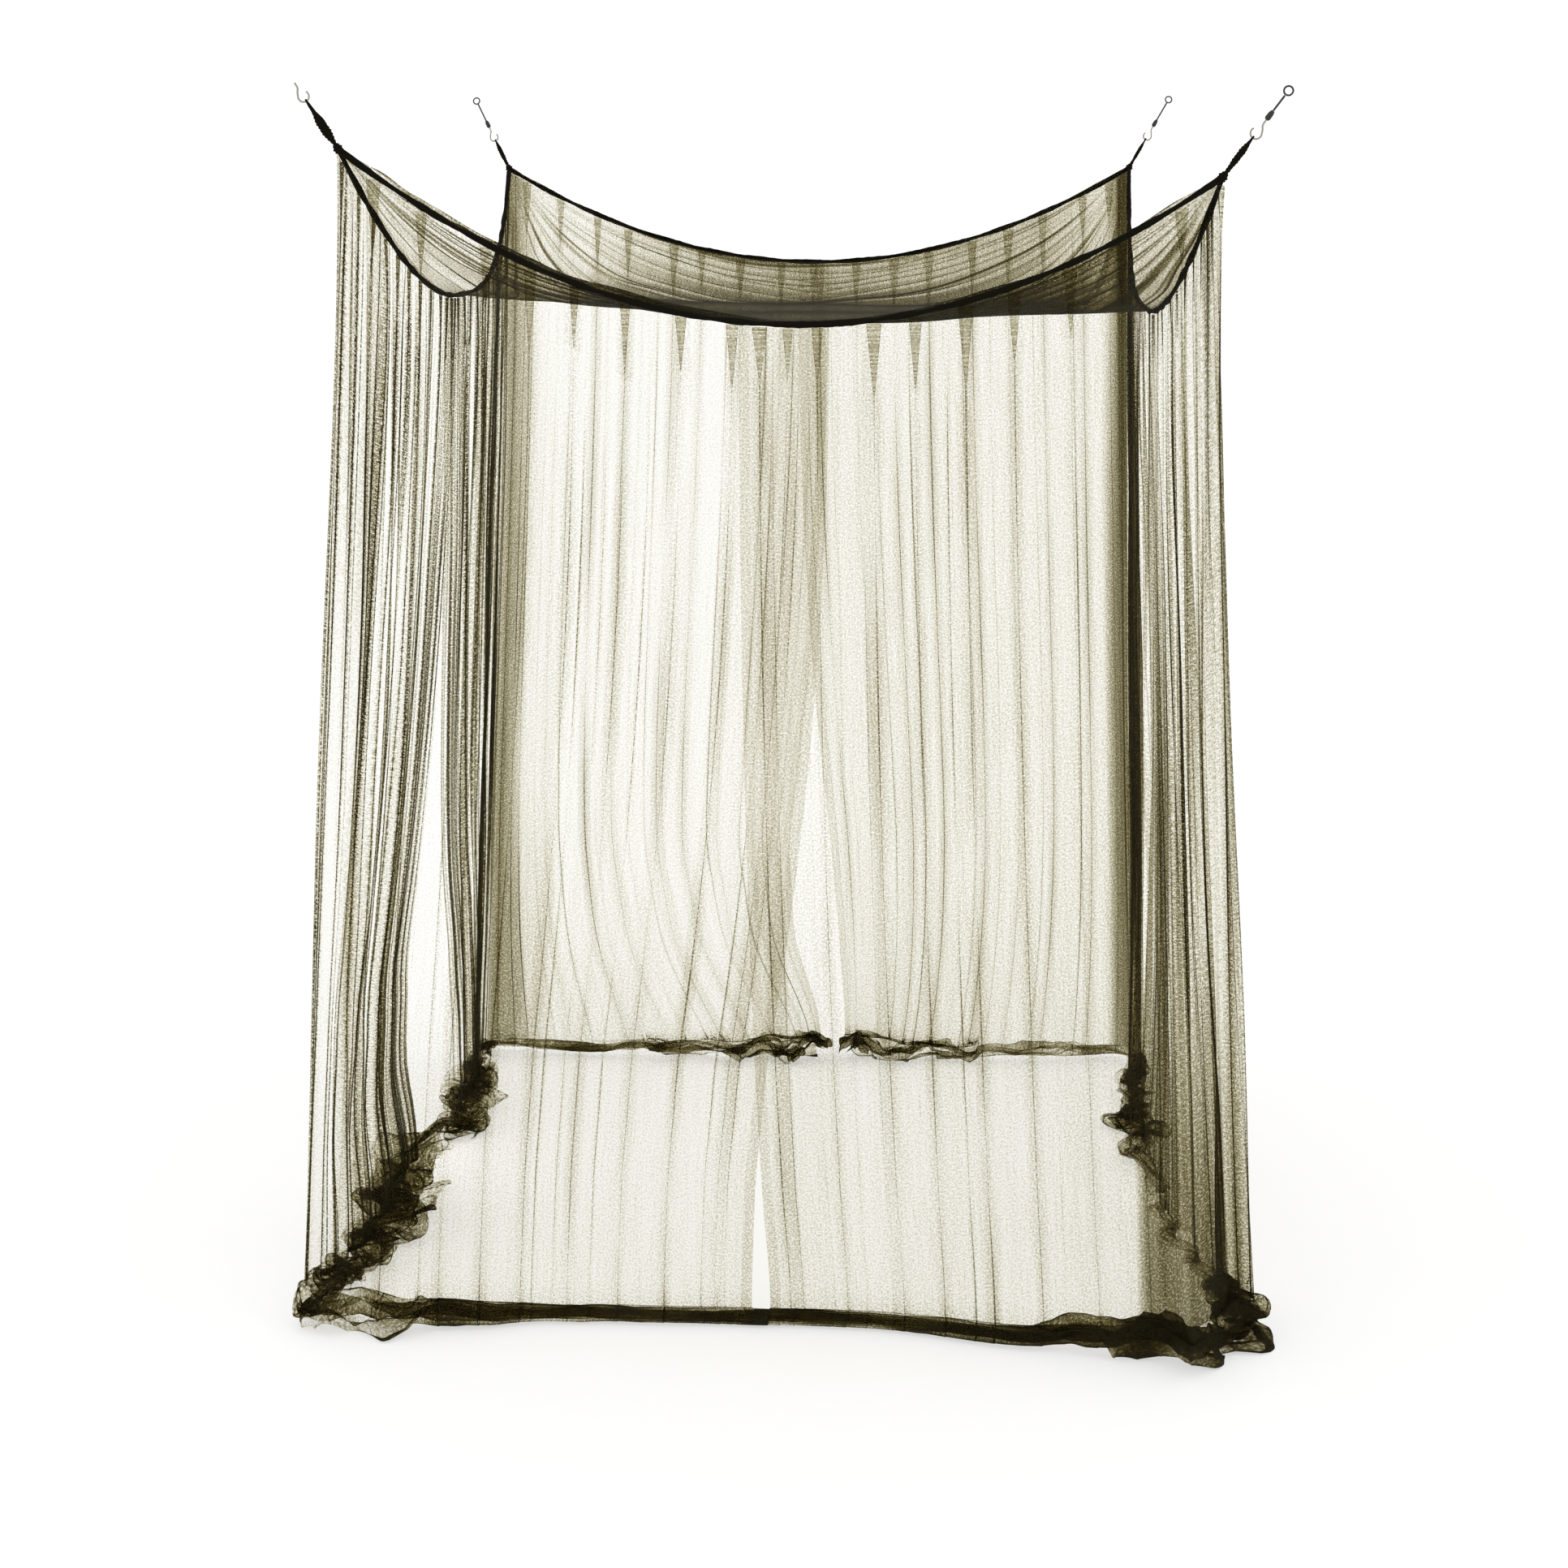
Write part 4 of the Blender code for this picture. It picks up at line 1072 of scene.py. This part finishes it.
def tape_material():
    """Return the dark woven tape of the bindings and the corner ribbons, with a painted sheen on
    its fibres.
    """
    nodes = Nodes("bound_tape")
    place = nodes.add("ShaderNodeTexCoord").outputs["Object"]
    fibre = nodes.noise(place, 900.0, 3.0)
    # Random fibres are painted paler here: a painted sheen on the tape, not a colour of its own
    painted_sheen = nodes.add("ShaderNodeMix", data_type="RGBA")
    nodes.join(fibre, painted_sheen.inputs["Factor"])
    nodes.join((*TAPE_COLOUR, 1.0), painted_sheen.inputs["A"])
    nodes.join((*[TAPE_PAINTED_SHEEN * c for c in TAPE_COLOUR], 1.0), painted_sheen.inputs["B"])
    nodes.join(painted_sheen.outputs["Result"], nodes.shader.inputs["Base Color"])
    nodes.bump(fibre, 0.6, 0.0006)
    nodes.constants(Roughness=0.9, Specular_IOR_Level=0.06)
    return nodes.material


def wire_material():
    """Return the drawn steel wire of the hooks."""
    nodes = Nodes("drawn_wire")
    place = nodes.add("ShaderNodeTexCoord").outputs["Object"]
    scratch = nodes.noise(nodes.stretched(place, (900.0, 900.0, 120.0)), 1.0, 3.0)
    nodes.join(scratch * 0.25 + 0.22, nodes.shader.inputs["Roughness"])
    nodes.constants(Base_Color=(*WIRE_COLOUR, 1.0), Metallic=1.0)
    return nodes.material


def braid_material():
    """Return the black braided cord."""
    nodes = Nodes("black_braid")
    place = nodes.add("ShaderNodeTexCoord").outputs["Object"]
    strands = nodes.noise(place, 1400.0)
    nodes.bump(strands, 0.5, 0.0004)
    nodes.join(strands * 0.3 + 0.45, nodes.shader.inputs["Roughness"])
    nodes.constants(Base_Color=(*CORD_COLOUR, 1.0))
    return nodes.material


# ---- stage
def make_camera():
    """Add the camera, at the photograph's place and angle."""
    data = bpy.data.cameras.new("camera")
    data.lens = CAMERA_LENS
    data.sensor_width = 36.0
    data.shift_y = CAMERA_SHIFT_UP
    item = add_object("camera", data)
    item.location = CAMERA_PLACE
    item.rotation_euler = (math.radians(CAMERA_PITCH), 0.0, math.radians(CAMERA_YAW))
    bpy.context.scene.camera = item


def make_stage():
    """Add the floor and the even light."""
    mesh = bpy.data.meshes.new("stage_floor")
    corners = [(FLOOR_REACH * x, FLOOR_REACH * y, 0.0) for x, y, *_ in CORNERS.values()]
    mesh.from_pydata(corners, [], [(0, 1, 2, 3)])
    nodes = Nodes("pale_floor")
    nodes.constants(Base_Color=(*FLOOR_COLOUR, 1.0), Roughness=1.0, Specular_IOR_Level=0.0)
    nodes.constants(Emission_Color=(1.0, 1.0, 1.0, 1.0), Emission_Strength=FLOOR_GLOW)
    mesh.materials.append(nodes.material)
    item = add_object("stage_floor", mesh)
    world = bpy.data.worlds.new("soft_light")
    world.use_nodes = True
    light = world.node_tree.nodes["Background"]
    light.inputs["Color"].default_value = (1.0, 1.0, 1.0, 1.0)
    light.inputs["Strength"].default_value = WORLD_LIGHT
    scene = bpy.context.scene
    scene.world = world
    scene.view_settings.view_transform = "Standard"
    scene.cycles.transparent_max_bounces = 64


def refinish(name, material):
    """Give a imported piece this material."""
    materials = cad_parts[name].data.materials
    materials.clear()
    materials.append(material)


def main():
    """Make the whole scene."""
    make_camera()
    braid = braid_material()
    for corner in CORDS:
        make_cord(corner, braid)
    make_stage()
    net = net_material("sheer_net", False)
    creased_net = net_material("sheer_net_creased", True)
    tape = tape_material()
    wire = wire_material()
    make_curtains(net)
    make_ceiling(creased_net)
    for index in range(len(EDGES)):
        make_binding(index, tape)
    for corner in CORNER_NAMES:
        make_tie(corner, tape)
        refinish("hook_" + corner, wire)
    for corner in CORDS:
        for kind in ("ferrule_", "end_loop_"):
            refinish(kind + corner, braid)


main()
